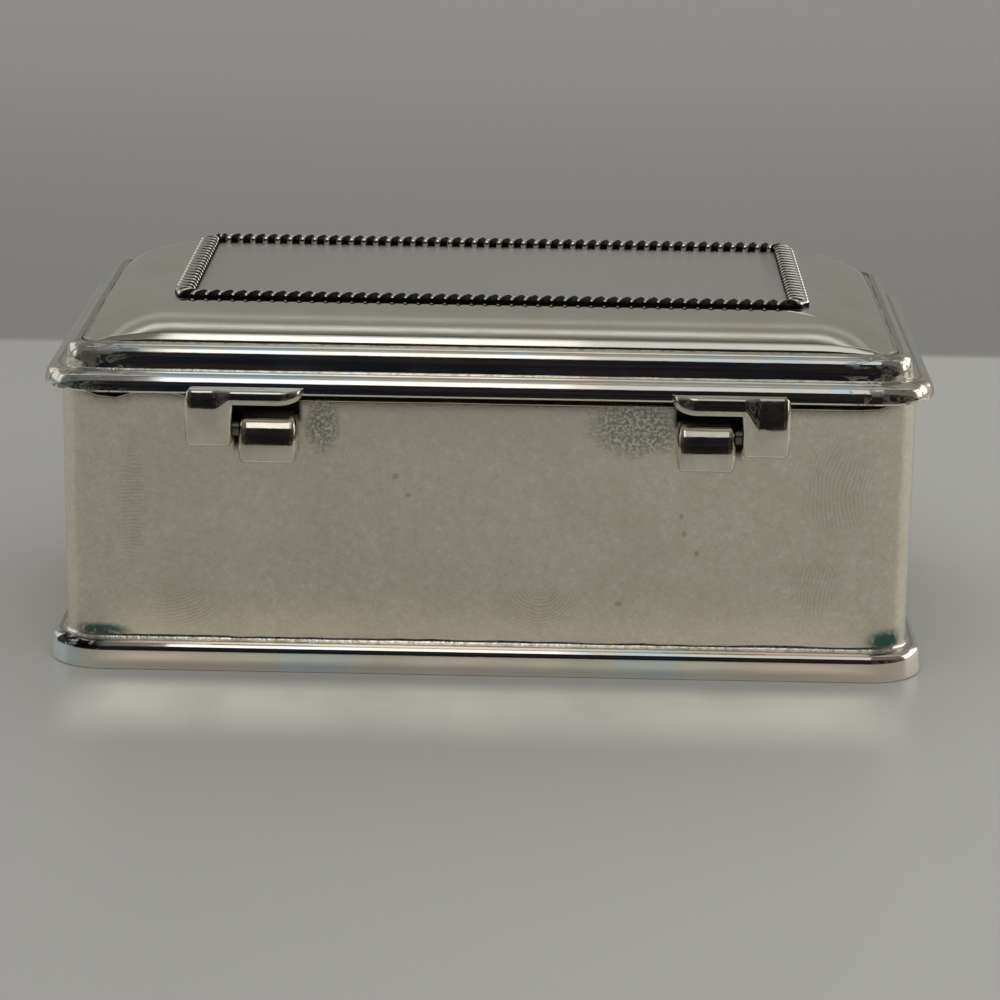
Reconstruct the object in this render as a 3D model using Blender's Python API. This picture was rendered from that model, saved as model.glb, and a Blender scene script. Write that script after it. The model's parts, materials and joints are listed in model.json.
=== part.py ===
"""Trinket box of polished sheet silver with a hinged, stepped lid.

The frame is in metres with +Z up. The origin is the centre of the underside, the front of the
box faces -Y and its hinges are at the back, +Y. Left and right are as seen from the front.
"""

import math

import bmesh
import bpy
from mathutils import Matrix, Vector

# Gap between two pieces that are soldered, glued or resting on each other.
SEAT_GAP = 0.0003

# Body walls: one band of sheet with rounded corners, measured over the outside.
WALL_LENGTH = 0.122
WALL_WIDTH = 0.065
WALL_CORNER_RADIUS = 0.0058
WALL_THICKNESS = 0.001
# Height of the plane where the lid sits on the walls.
SEAT_HEIGHT = 0.041

# Base: a sheet that closes the bottom, and a foot moulding round it.
BASE_PLATE_THICKNESS = 0.001
BASE_OVERHANG = 0.0024
BASE_HEIGHT = 0.004
BASE_EDGE_ROUND = 0.0012
BASE_FOOT_ROUND = 0.0003
BASE_BEAD_WIDTH = 0.0008
BASE_BEAD_HEIGHT = 0.0005

# Mouth bezel: a strip inside the walls that stands up into the lid.
BEZEL_THICKNESS = 0.0009
BEZEL_EDGE_BEVEL = 0.0003
BEZEL_RISE = 0.0013
BEZEL_DEPTH = 0.0045
BEZEL_CLEARANCE = 0.0005

# Lid rim: a solid strip that sits on the walls and overhangs them.
RIM_OVERHANG = 0.0025
RIM_HEIGHT = 0.0027
RIM_EDGE_ROUND = 0.0011
RIM_FOOT_ROUND = 0.0003

# Lid step: a second strip on the ledge of the rim.
STEP_INSET = 0.0029
STEP_HEIGHT = 0.0033
STEP_THICKNESS = 0.0024
STEP_EDGE_ROUND = 0.0012

# Lid cover: a pressed sheet with an upright shoulder and a low crown up to a flat panel.
COVER_INSET = 0.0029
COVER_THICKNESS = 0.0008
SHOULDER_HEIGHT = 0.0021
SHOULDER_ROUND = 0.0011
CROWN_RISE = 0.0027
PANEL_MARGIN = 0.0006

# Gadrooned wire round the flat panel, measured over its outside.
BORDER_LENGTH = 0.0916
BORDER_WIDTH = 0.045
BORDER_CORNER_RADIUS = 0.0038
WIRE_WIDTH = 0.003
WIRE_HEIGHT = 0.001
GADROON_PITCH = 0.00178

# Hinge axis: just outside the rim's back face and below the seat.
AXIS_OUT = 0.0003
AXIS_DROP = 0.0047
PIN_RADIUS = 0.0011
PIN_CLEARANCE = 0.0001
PIN_END_INSET = 0.0003

# Knuckles, measured from the hinge axis, and along it from the middle of the box.
KNUCKLE_FACE = 0.0027
KNUCKLE_BEVEL = 0.0006
KNUCKLE_GAP = 0.0008
BODY_KNUCKLE_START = 0.0268
BODY_KNUCKLE_LENGTH = 0.008
BODY_KNUCKLE_TOP = 0.0037
BODY_KNUCKLE_FLAT_TOP = 0.0017
BODY_KNUCKLE_BOTTOM = 0.0045
LID_KNUCKLE_LENGTH = 0.0068
LID_KNUCKLE_BOTTOM = 0.0024
BRACKET_TOP = 0.006
BRACKET_FLAT_TOP = 0.0025
SHELF_UNDERSIDE = 0.0041
SHELF_OVERLAP = 0.0009
SHELF_TAPER = 0.0031
SHELF_TIP_DROP = 0.0008

# Velvet lining of the body, glued to the walls and to a stiff floor board.
LINING_THICKNESS = 0.0014
FLOOR_BOARD_THICKNESS = 0.0015
FLOOR_PAD_THICKNESS = 0.0026
FLOOR_PAD_CROWN = 0.0007
PAD_EDGE_ROUND = 0.0009
# Where a pad's crown has its rings, as shares of the way from its edge to its middle.
PAD_CROWN_SHARES = (0.3, 0.7)

# Lining of the lid: a stiff board with a thin velvet pad under it.
LID_BOARD_THICKNESS = 0.0012
LID_BOARD_LIFT = 0.0011
LID_PAD_THICKNESS = 0.0016
LID_PAD_CROWN = 0.0009

# One overrun serves every cutter.
CUT_OVERRUN = 0.002

# Facets of the round shapes.
CORNER_STEPS = 7
ROUND_STEPS = 4
CROWN_STEPS = 5
PROFILE_STEPS = 8
BORE_SIDES = 24
STATIONS_PER_GADROON = 3
WIRE_SECTION_STEPS = 4
# How much of a gadroon's height is left in the valley beside it.
VALLEY_SHARE = 0.45
# The least share of a corner's radius that stays where an inset would use it up.
CORNER_KEEP_SHARE = 0.25

# Worked out from the sizes above.
LID_LENGTH = WALL_LENGTH + 2 * RIM_OVERHANG
LID_WIDTH = WALL_WIDTH + 2 * RIM_OVERHANG
LID_CORNER_RADIUS = WALL_CORNER_RADIUS + RIM_OVERHANG
RIM_TOP = SEAT_HEIGHT + RIM_HEIGHT
STEP_TOP = RIM_TOP + STEP_HEIGHT
SHOULDER_TOP = STEP_TOP + SHOULDER_HEIGHT
PANEL_TOP = SHOULDER_TOP + CROWN_RISE
AXIS_Y = LID_WIDTH / 2 + AXIS_OUT
AXIS_Z = SEAT_HEIGHT - AXIS_DROP
# How far the knuckles reach back from the axis, to the gap at the wall.
KNUCKLE_BACK = AXIS_Y - WALL_WIDTH / 2 - SEAT_GAP


def clear_scene():
    """Remove every object that is already in the scene."""
    for old in list(bpy.data.objects):
        bpy.data.objects.remove(old, do_unlink=True)


def material(name, colour, roughness, metallic):
    """A plain Principled material."""
    made = bpy.data.materials.new(name)
    made.use_nodes = True
    shader = made.node_tree.nodes["Principled BSDF"]
    shader.inputs["Base Color"].default_value = (*colour, 1.0)
    shader.inputs["Roughness"].default_value = roughness
    shader.inputs["Metallic"].default_value = metallic
    return made


def make_materials():
    """The finishes of the box: bright silver, darkened silver, steel, velvet and card."""
    return {
        "silver": material("silver", (0.80, 0.78, 0.73), 0.10, 1.0),
        "satin_silver": material("satin_silver", (0.72, 0.70, 0.64), 0.20, 1.0),
        "gadroon_silver": material("gadroon_silver", (0.62, 0.60, 0.56), 0.18, 1.0),
        "pin_steel": material("pin_steel", (0.45, 0.44, 0.42), 0.30, 1.0),
        "velvet": material("velvet", (0.03, 0.05, 0.16), 0.95, 0.0),
        "card": material("card", (0.42, 0.36, 0.27), 0.90, 0.0),
    }


def add_object(name, mesh_maker, finish):
    """Fill a bmesh with mesh_maker, and make a named, smooth-shaded object of it."""
    shape = bmesh.new()
    mesh_maker(shape)
    bmesh.ops.recalc_face_normals(shape, faces=shape.faces)
    mesh = bpy.data.meshes.new(name)
    shape.to_mesh(mesh)
    shape.free()
    mesh.shade_smooth()
    mesh.set_sharp_from_angle(angle=math.radians(35))
    mesh.materials.append(finish)
    made = bpy.data.objects.new(name, mesh)
    bpy.context.collection.objects.link(made)
    return made


def rounded_outline(length, width, radius):
    """Points of a rectangle with rounded corners, anticlockwise from its +X side."""
    radius = min(radius, length / 2, width / 2)
    points = []
    for corner, (side_x, side_y) in enumerate(((1, 1), (-1, 1), (-1, -1), (1, -1))):
        centre_x = side_x * (length / 2 - radius)
        centre_y = side_y * (width / 2 - radius)
        for step in range(CORNER_STEPS + 1):
            angle = math.pi / 2 * (corner + step / CORNER_STEPS)
            points.append((centre_x + radius * math.cos(angle), centre_y + radius * math.sin(angle)))
    return points


def inset_ring(outline, inset, height):
    """A level ring of an outline (length, width, radius), moved inwards by inset."""
    length, width, radius = outline
    # A corner keeps a little roundness where the inset would use up its radius.
    inner_radius = max(radius - inset, radius * CORNER_KEEP_SHARE)
    flat = rounded_outline(length - 2 * inset, width - 2 * inset, inner_radius)
    return [(x, y, height) for x, y in flat]


def bridge(shape, rings, closed):
    """Join rings of equal point count with quads; a closed set joins its last ring to its first."""
    loops = [[shape.verts.new(point) for point in ring] for ring in rings]
    pairs = list(zip(loops, loops[1:]))
    if closed:
        pairs.append((loops[-1], loops[0]))
    for near, far in pairs:
        for index, vertex in enumerate(near):
            following = (index + 1) % len(near)
            shape.faces.new((vertex, near[following], far[following], far[index]))
    if not closed:
        shape.faces.new(loops[0])
        shape.faces.new(loops[-1])


def frame_object(name, outline, section, finish):
    """A frame: a closed section of (inset, height) points carried round an outline."""
    rings = [inset_ring(outline, inset, height) for inset, height in section]
    return add_object(name, lambda shape: bridge(shape, rings, True), finish)


def stack_object(name, rings, finish):
    """A solid of stacked level rings, closed at both ends."""
    return add_object(name, lambda shape: bridge(shape, rings, False), finish)


def quarter_round(radius, centre_inset, centre_height):
    """Points of a rounded edge, from facing outwards to facing upwards."""
    points = []
    for step in range(ROUND_STEPS + 1):
        angle = math.pi / 2 * step / ROUND_STEPS
        inset = centre_inset - radius * math.cos(angle)
        points.append((inset, centre_height + radius * math.sin(angle)))
    return points


def wall_outline():
    """The walls' outer outline."""
    return (WALL_LENGTH, WALL_WIDTH, WALL_CORNER_RADIUS)


def lid_outline():
    """The lid rim's outer outline."""
    return (LID_LENGTH, LID_WIDTH, LID_CORNER_RADIUS)


def grown(outline, by):
    """An outline made larger all round."""
    length, width, radius = outline
    return (length + 2 * by, width + 2 * by, radius + by)


def make_base_plate(finish):
    """Sheet that closes the bottom, inside the foot moulding and under the walls."""
    rings = [inset_ring(wall_outline(), 0, 0), inset_ring(wall_outline(), 0, BASE_PLATE_THICKNESS)]
    return stack_object("base_plate", rings, finish)


def make_base_moulding(finish):
    """Foot strip: upright face, rounded upper edge, flat ledge, and a small bead at the wall."""
    inner = BASE_OVERHANG - SEAT_GAP
    bead_start = inner - BASE_BEAD_WIDTH
    section = [(inner, 0), (BASE_FOOT_ROUND, 0), (0, BASE_FOOT_ROUND)]
    section += quarter_round(BASE_EDGE_ROUND, BASE_EDGE_ROUND, BASE_HEIGHT - BASE_EDGE_ROUND)
    section += [
        (bead_start, BASE_HEIGHT + BASE_BEAD_HEIGHT / 2),
        (bead_start + BASE_BEAD_WIDTH / 2, BASE_HEIGHT + BASE_BEAD_HEIGHT),
        (inner, BASE_HEIGHT + BASE_BEAD_HEIGHT),
    ]
    outline = grown(wall_outline(), BASE_OVERHANG)
    return frame_object("base_moulding", outline, section, finish)


def make_body_walls(finish):
    """The band of sheet that stands on the base plate."""
    low = BASE_PLATE_THICKNESS + SEAT_GAP
    high = SEAT_HEIGHT - SEAT_GAP
    section = [(0, low), (0, high), (WALL_THICKNESS, high), (WALL_THICKNESS, low)]
    return frame_object("body_walls", wall_outline(), section, finish)


def make_mouth_bezel(finish):
    """Inner strip that stands up inside the lid."""
    outer = WALL_THICKNESS + SEAT_GAP
    inner = outer + BEZEL_THICKNESS
    low = SEAT_HEIGHT - BEZEL_DEPTH
    high = SEAT_HEIGHT + BEZEL_RISE
    edge = BEZEL_EDGE_BEVEL
    section = [(outer, low), (outer, high - edge), (outer + edge, high), (inner - edge, high)]
    section += [(inner, high - edge), (inner, low)]
    return frame_object("mouth_bezel", wall_outline(), section, finish)


def make_wall_lining(finish):
    """Velvet-covered strip glued inside the walls, up to the bezel."""
    outer = WALL_THICKNESS + SEAT_GAP
    inner = outer + LINING_THICKNESS
    low = BASE_PLATE_THICKNESS + SEAT_GAP
    high = SEAT_HEIGHT - BEZEL_DEPTH - SEAT_GAP
    section = [(outer, low), (outer, high), (inner, high), (inner, low)]
    return frame_object("wall_lining", wall_outline(), section, finish)


def lining_inset():
    """From the walls' outside to what stands clear inside the velvet strip."""
    return WALL_THICKNESS + SEAT_GAP + LINING_THICKNESS + SEAT_GAP


def make_floor_board(finish):
    """Stiff card on the base plate, inside the velvet strip."""
    low = BASE_PLATE_THICKNESS + SEAT_GAP
    rings = [inset_ring(wall_outline(), lining_inset(), low)]
    rings.append(inset_ring(wall_outline(), lining_inset(), low + FLOOR_BOARD_THICKNESS))
    return stack_object("floor_board", rings, finish)


def pad_rings(outline, inset, back, thickness, crown, facing):
    """Rings of a thin pad, from its flat back to its crowned face (facing is +1 up, -1 down)."""
    middle = min(outline[0], outline[1]) / 2 - inset
    edge = thickness - PAD_EDGE_ROUND
    rings = [inset_ring(outline, inset, back), inset_ring(outline, inset, back + facing * edge)]
    rings.append(inset_ring(outline, inset + PAD_EDGE_ROUND, back + facing * thickness))
    for share in PAD_CROWN_SHARES:
        height = thickness + crown * math.sin(share * math.pi / 2)
        rings.append(inset_ring(outline, inset + share * middle, back + facing * height))
    return rings


def make_floor_pad(finish):
    """Velvet pad on the floor board."""
    back = BASE_PLATE_THICKNESS + SEAT_GAP + FLOOR_BOARD_THICKNESS + SEAT_GAP
    rings = pad_rings(wall_outline(), lining_inset(), back, FLOOR_PAD_THICKNESS, FLOOR_PAD_CROWN, 1)
    return stack_object("floor_pad", rings, finish)


def make_lid_rim(finish):
    """Rim strip: rests on the walls, with an upright face, rounded upper edge and flat ledge."""
    inner = RIM_OVERHANG + WALL_THICKNESS + SEAT_GAP - BEZEL_CLEARANCE
    section = [(inner, SEAT_HEIGHT), (RIM_FOOT_ROUND, SEAT_HEIGHT), (0, SEAT_HEIGHT + RIM_FOOT_ROUND)]
    section += quarter_round(RIM_EDGE_ROUND, RIM_EDGE_ROUND, RIM_TOP - RIM_EDGE_ROUND)
    section.append((inner, RIM_TOP))
    return frame_object("lid_rim_moulding", lid_outline(), section, finish)


def make_lid_step(finish):
    """Step strip on the ledge of the rim."""
    low = RIM_TOP + SEAT_GAP
    inner = STEP_INSET + STEP_THICKNESS
    section = [(inner, low), (STEP_INSET, low)]
    section += quarter_round(STEP_EDGE_ROUND, STEP_INSET + STEP_EDGE_ROUND, STEP_TOP - STEP_EDGE_ROUND)
    section.append((inner, STEP_TOP))
    return frame_object("lid_step_moulding", lid_outline(), section, finish)


def panel_outline():
    """Outline of the flat panel, a little outside the gadrooned wire."""
    return grown((BORDER_LENGTH, BORDER_WIDTH, BORDER_CORNER_RADIUS), PANEL_MARGIN)


def cover_skin(depth):
    """Rings of the cover's sheet at a depth under its outer face, from its foot to the panel."""
    start = STEP_INSET + COVER_INSET
    outline = lid_outline()
    rings = [inset_ring(outline, start + depth, STEP_TOP + SEAT_GAP)]
    shoulder = quarter_round(SHOULDER_ROUND, start + SHOULDER_ROUND, SHOULDER_TOP - SHOULDER_ROUND)
    rings += [inset_ring(outline, inset + depth, height - depth) for inset, height in shoulder]
    crown_foot = grown(outline, -(start + SHOULDER_ROUND))
    for step in range(1, CROWN_STEPS + 1):
        share = step / CROWN_STEPS
        between = [low + (high - low) * share for low, high in zip(crown_foot, panel_outline())]
        rise = CROWN_RISE * (1 - (1 - share) ** 2)
        rings.append(inset_ring(between, depth, SHOULDER_TOP + rise - depth))
    return rings


def make_lid_cover(finish):
    """Pressed sheet: the outer and inner skins meet at the foot."""
    inner = cover_skin(COVER_THICKNESS)
    outer = cover_skin(0)
    return stack_object("lid_cover", inner[::-1] + outer, finish)


def outline_walk(outline, count):
    """Places evenly spaced round an outline: each is a point and the direction outwards."""
    length, width, radius = outline
    straight_x = length - 2 * radius
    straight_y = width - 2 * radius
    arc = math.pi / 2 * radius
    total = 2 * (straight_x + straight_y) + 4 * arc
    # Each side starts at the end of the corner before it.
    sides = (
        (Vector((length / 2, -straight_y / 2)), 0.0, straight_y),
        (Vector((straight_x / 2, width / 2)), math.pi / 2, straight_x),
        (Vector((-length / 2, straight_y / 2)), math.pi, straight_y),
        (Vector((-straight_x / 2, -width / 2)), 3 * math.pi / 2, straight_x),
    )
    places = []
    for step in range(count):
        left = total * step / count
        for start, facing, run in sides:
            outward = Vector((math.cos(facing), math.sin(facing)))
            along = Vector((-outward.y, outward.x))
            if left <= run:
                places.append((start + along * left, outward))
                break
            left -= run
            if left <= arc:
                turn = facing + left / radius
                centre = start + along * run - outward * radius
                outward = Vector((math.cos(turn), math.sin(turn)))
                places.append((centre + outward * radius, outward))
                break
            left -= arc
    return places, total


def make_gadroon_border(finish):
    """Low half-round wire that swells into a lobe at each gadroon."""
    middle = grown((BORDER_LENGTH, BORDER_WIDTH, BORDER_CORNER_RADIUS), -WIRE_WIDTH / 2)
    _, total = outline_walk(middle, 1)
    stations = STATIONS_PER_GADROON * round(total / GADROON_PITCH)
    places, _ = outline_walk(middle, stations)
    low = PANEL_TOP + SEAT_GAP
    rings = []
    for index, (point, outward) in enumerate(places):
        phase = index % STATIONS_PER_GADROON / STATIONS_PER_GADROON
        swell = VALLEY_SHARE + (1 - VALLEY_SHARE) * math.sin(math.pi * phase)
        ring = []
        for step in range(WIRE_SECTION_STEPS + 1):
            angle = math.pi * (1 - step / WIRE_SECTION_STEPS)
            across = point + outward * math.cos(angle) * WIRE_WIDTH / 2
            ring.append((across.x, across.y, low + WIRE_HEIGHT * swell * math.sin(angle)))
        rings.append(ring)
    return add_object("gadroon_border", lambda shape: bridge(shape, rings, True), finish)


def make_lid_board(finish):
    """Stiff board that fills the inside of the step strip."""
    inset = STEP_INSET + STEP_THICKNESS + SEAT_GAP
    low = RIM_TOP + LID_BOARD_LIFT + SEAT_GAP
    rings = [inset_ring(lid_outline(), inset, low)]
    rings.append(inset_ring(lid_outline(), inset, low + LID_BOARD_THICKNESS))
    return stack_object("lid_lining_board", rings, finish)


def make_lid_pad(finish):
    """Velvet pad under the lid's board, crowned downwards."""
    inset = STEP_INSET + STEP_THICKNESS + SEAT_GAP
    back = RIM_TOP + LID_BOARD_LIFT
    rings = pad_rings(lid_outline(), inset, back, LID_PAD_THICKNESS, LID_PAD_CROWN, -1)
    return stack_object("lid_lining_pad", rings, finish)


def casting(name, profile_at, start, end, finish):
    """A solid along the hinge axis, chamfered at both ends: profile_at(inset) gives (y, z) points."""
    bevel = KNUCKLE_BEVEL
    chamfer = math.copysign(bevel, end - start)
    rings = []
    for x, inset in ((start, bevel), (start + chamfer, 0), (end - chamfer, 0), (end, bevel)):
        rings.append([(x, AXIS_Y + out, AXIS_Z + up) for out, up in profile_at(inset)])
    return stack_object(name, rings, finish)


def swept_face(low_out, high_out, flat_top, top):
    """Outer face of a casting: a quarter ellipse from its flat face up and back to its top."""
    points = []
    for step in range(PROFILE_STEPS + 1):
        angle = math.pi / 2 * step / PROFILE_STEPS
        out = high_out + (low_out - high_out) * math.cos(angle)
        points.append((out, flat_top + (top - flat_top) * math.sin(angle)))
    return points


def guide(made):
    """Show a cutter as a wire only, and keep it out of the finished box."""
    made.hide_render = True
    made.display_type = "WIRE"
    return made


def cut(target, cutter):
    """Take a cutter's shape out of a casting."""
    boolean = target.modifiers.new("cut", "BOOLEAN")
    boolean.operation = "DIFFERENCE"
    boolean.object = guide(cutter)


def rod(name, radius, start, end, finish):
    """A round rod on the hinge axis, from x start to x end."""
    rings = []
    for x in (start, end):
        ring = []
        for side in range(BORE_SIDES):
            angle = 2 * math.pi * side / BORE_SIDES
            ring.append((x, AXIS_Y + radius * math.cos(angle), AXIS_Z + radius * math.sin(angle)))
        rings.append(ring)
    return stack_object(name, rings, finish)


def bore(side, label, finish):
    """Cutter for the pin's hole through both knuckles on one side."""
    start = side * (BODY_KNUCKLE_START - CUT_OVERRUN)
    end = side * (lid_knuckle_end() + CUT_OVERRUN)
    return rod("bore_" + label, PIN_RADIUS + PIN_CLEARANCE, start, end, finish)


def lid_knuckle_start():
    """Where the lid's knuckle begins, counted from the middle of the box."""
    return BODY_KNUCKLE_START + BODY_KNUCKLE_LENGTH + KNUCKLE_GAP


def lid_knuckle_end():
    """Where the lid's knuckle ends."""
    return lid_knuckle_start() + LID_KNUCKLE_LENGTH


def body_knuckle_profile(inset):
    """Block on the wall: flat lower face, and a top that sweeps back to the wall."""
    face = KNUCKLE_FACE - inset
    bottom = BODY_KNUCKLE_BOTTOM - inset
    profile = [(-KNUCKLE_BACK, -bottom), (face - KNUCKLE_BEVEL, -bottom)]
    profile.append((face, KNUCKLE_BEVEL - bottom))
    profile += swept_face(face, -KNUCKLE_BACK / 2, -BODY_KNUCKLE_FLAT_TOP, BODY_KNUCKLE_TOP - inset)
    profile.append((-KNUCKLE_BACK, BODY_KNUCKLE_TOP - inset))
    return profile


def make_body_knuckle(label, side, finish):
    """Knuckle soldered to the back wall on one side."""
    start = side * BODY_KNUCKLE_START
    end = side * (BODY_KNUCKLE_START + BODY_KNUCKLE_LENGTH)
    made = casting("hinge_knuckle_" + label, body_knuckle_profile, start, end, finish)
    cut(made, bore(side, "body_" + label, finish))
    return made


def bracket_profile(inset):
    """Lid casting: swept front, knuckle round the pin at the back, and a step for the rim."""
    rim_face = LID_WIDTH / 2 + SEAT_GAP - AXIS_Y
    under_rim = SEAT_HEIGHT - SEAT_GAP - AXIS_Z
    face = KNUCKLE_FACE - inset
    bottom = LID_KNUCKLE_BOTTOM - inset
    profile = [(0, -bottom), (face - KNUCKLE_BEVEL, -bottom), (face, KNUCKLE_BEVEL - bottom)]
    profile += swept_face(face, rim_face, BRACKET_FLAT_TOP, BRACKET_TOP)
    profile += [(rim_face, under_rim), (-KNUCKLE_BACK, under_rim)]
    for step in range(PROFILE_STEPS):
        angle = math.pi + math.pi / 2 * step / PROFILE_STEPS
        profile.append((KNUCKLE_BACK * math.cos(angle), bottom * math.sin(angle)))
    return profile


def notch(label, side, finish):
    """Cutter that leaves only the tapered shelf over the body's knuckle."""
    inner = BODY_KNUCKLE_START - SHELF_OVERLAP
    far = inner - CUT_OVERRUN
    low = -LID_KNUCKLE_BOTTOM - CUT_OVERRUN
    tip = BRACKET_TOP - SHELF_TIP_DROP
    outline = [(far, low), (lid_knuckle_start(), low), (lid_knuckle_start(), SHELF_UNDERSIDE)]
    outline += [(inner + SHELF_TAPER, SHELF_UNDERSIDE), (inner, tip), (far, tip)]
    rings = []
    for out in (-KNUCKLE_BACK - CUT_OVERRUN, KNUCKLE_FACE + CUT_OVERRUN):
        rings.append([(side * x, AXIS_Y + out, AXIS_Z + up) for x, up in outline])
    return stack_object("notch_" + label, rings, finish)


def make_bracket(label, side, finish):
    """Lid casting on one side: a shelf on the rim's back face, and a knuckle under its outer end."""
    start = side * (BODY_KNUCKLE_START - SHELF_OVERLAP)
    end = side * lid_knuckle_end()
    made = casting("hinge_bracket_" + label, bracket_profile, start, end, finish)
    cut(made, notch(label, side, finish))
    cut(made, bore(side, "lid_" + label, finish))
    return made


def make_pin(label, side, finish):
    """Hinge pin through both knuckles."""
    start = side * (BODY_KNUCKLE_START + PIN_END_INSET)
    end = side * (lid_knuckle_end() - PIN_END_INSET)
    return rod("hinge_pin_" + label, PIN_RADIUS, start, end, finish)


def hang_on_axis(pieces):
    """Parent the lid's pieces to an empty on the hinge axis, with their origins on it."""
    axis = bpy.data.objects.new("lid_axis", None)
    axis.location = (0, AXIS_Y, AXIS_Z)
    bpy.context.collection.objects.link(axis)
    to_axis = Matrix.Translation((0, -AXIS_Y, -AXIS_Z))
    for piece in pieces:
        piece.data.transform(to_axis)
        piece.parent = axis


def build_box():
    """Make every piece of the box."""
    clear_scene()
    finish = make_materials()
    make_base_plate(finish["satin_silver"])
    make_base_moulding(finish["silver"])
    make_body_walls(finish["satin_silver"])
    make_mouth_bezel(finish["silver"])
    make_wall_lining(finish["velvet"])
    make_floor_board(finish["card"])
    make_floor_pad(finish["velvet"])
    lid_pieces = [
        make_lid_rim(finish["silver"]),
        make_lid_step(finish["silver"]),
        make_lid_cover(finish["silver"]),
        make_gadroon_border(finish["gadroon_silver"]),
        make_lid_board(finish["card"]),
        make_lid_pad(finish["velvet"]),
    ]
    for label, side in (("left", -1), ("right", 1)):
        make_body_knuckle(label, side, finish["silver"])
        make_pin(label, side, finish["pin_steel"])
        lid_pieces.append(make_bracket(label, side, finish["silver"]))
    hang_on_axis(lid_pieces)


build_box()
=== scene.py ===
"""Looks of the trinket box: polished silver, a gadrooned border, worn walls and a velvet lining.

Metres, +Z up. The front of the box faces -Y. The camera stands behind it, as in the photograph.
"""

import json
import math

import bmesh
import bpy
from mathutils import Matrix, Vector, noise


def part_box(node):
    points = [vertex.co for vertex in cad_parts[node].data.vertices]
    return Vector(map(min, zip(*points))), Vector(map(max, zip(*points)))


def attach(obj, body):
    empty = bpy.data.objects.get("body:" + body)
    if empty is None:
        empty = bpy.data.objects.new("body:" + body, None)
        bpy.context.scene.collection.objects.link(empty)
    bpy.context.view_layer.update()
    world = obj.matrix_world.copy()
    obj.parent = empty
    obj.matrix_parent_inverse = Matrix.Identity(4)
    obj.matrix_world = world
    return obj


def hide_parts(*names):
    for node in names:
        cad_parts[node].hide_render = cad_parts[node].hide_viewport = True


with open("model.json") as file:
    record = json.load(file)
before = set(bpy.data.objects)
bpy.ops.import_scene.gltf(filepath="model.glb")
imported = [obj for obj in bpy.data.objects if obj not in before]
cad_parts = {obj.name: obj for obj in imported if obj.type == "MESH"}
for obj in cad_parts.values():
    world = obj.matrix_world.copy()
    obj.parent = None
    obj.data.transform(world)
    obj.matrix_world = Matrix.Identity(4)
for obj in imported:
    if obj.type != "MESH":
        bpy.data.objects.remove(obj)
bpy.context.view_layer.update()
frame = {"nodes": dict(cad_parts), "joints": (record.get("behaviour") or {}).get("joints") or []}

MM = 0.001


def node_size(name):
    """Length, width, lowest and highest level of a CAD node."""
    low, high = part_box(name)
    return high.x - low.x, high.y - low.y, low.z, high.z


# Sizes read from the frame.
WALL_LENGTH, WALL_WIDTH, _, WALL_TOP = node_size("body_walls")
LID_LENGTH, LID_WIDTH, RIM_LOW, RIM_TOP = node_size("lid_rim_moulding")
STEP_LENGTH, _, _, STEP_TOP = node_size("lid_step_moulding")
COVER_LENGTH, COVER_WIDTH, _, PANEL_TOP = node_size("lid_cover")
BORDER_LENGTH, BORDER_WIDTH, _, WIRE_TOP = node_size("gadroon_border")
BASE_LENGTH, BASE_WIDTH, _, _ = node_size("base_moulding")
LINING_LENGTH, LINING_WIDTH, LINING_LOW, LINING_TOP = node_size("wall_lining")
HINGE = next(joint for joint in frame["joints"] if joint["name"] == "lid_hinge")
AXIS_Y, AXIS_Z = HINGE["pos_m"][1:]

# Sizes that repeat the part's own.
WALL_RADIUS = 5.8 * MM
WALL_THICKNESS = 1.0 * MM
BASE_TOP = 4.0 * MM
RIM_OVERHANG = (LID_LENGTH - WALL_LENGTH) / 2
BASE_OVERHANG = (BASE_LENGTH - WALL_LENGTH) / 2
STEP_INSET = (LID_LENGTH - STEP_LENGTH) / 2
COVER_INSET = (LID_LENGTH - COVER_LENGTH) / 2
LID_RADIUS = WALL_RADIUS + RIM_OVERHANG
LID_OUTLINE = (LID_LENGTH, LID_WIDTH, LID_RADIUS)
BORDER_RADIUS = 3.8 * MM
PIN_RADIUS = 1.1 * MM
BORE_RADIUS = PIN_RADIUS + 0.1 * MM

# Pieces of a corner, and of a long and a short side: the same for every ring, so that rings can be joined.
CORNER_STEPS = 20
SIDE_PIECES = (44, 22)

# The camera, from a fit of the box's edges in the photograph.
CAMERA_PLACE = (-9.19 * MM, 512.66 * MM, 158.28 * MM)
CAMERA_PITCH = math.radians(15.44)
CAMERA_HEADING = math.radians(-0.87)
CAMERA_ROLL = math.radians(0.83)
FOCAL_PIXELS = 3497.8
PHOTO_PIXELS = 1000
SENSOR_WIDTH = 36.0


def make_camera():
    """Camera behind the box, at the photograph's viewing angle."""
    forward = Vector((
        -math.sin(CAMERA_HEADING) * math.cos(CAMERA_PITCH),
        -math.cos(CAMERA_HEADING) * math.cos(CAMERA_PITCH),
        -math.sin(CAMERA_PITCH),
    ))
    level_right = forward.cross(Vector((0, 0, 1))).normalized()
    level_up = level_right.cross(forward)
    right = level_right * math.cos(CAMERA_ROLL) + level_up * math.sin(CAMERA_ROLL)
    up = level_up * math.cos(CAMERA_ROLL) - level_right * math.sin(CAMERA_ROLL)
    data = bpy.data.cameras.new("photo_camera")
    data.sensor_width = SENSOR_WIDTH
    data.lens = FOCAL_PIXELS / PHOTO_PIXELS * SENSOR_WIDTH
    data.clip_start = 0.01
    data.clip_end = 20
    camera = bpy.data.objects.new("photo_camera", data)
    bpy.context.collection.objects.link(camera)
    axes = Matrix((right, up, -forward)).transposed()
    camera.matrix_world = Matrix.Translation(CAMERA_PLACE) @ axes.to_4x4()
    bpy.context.scene.camera = camera


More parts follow.
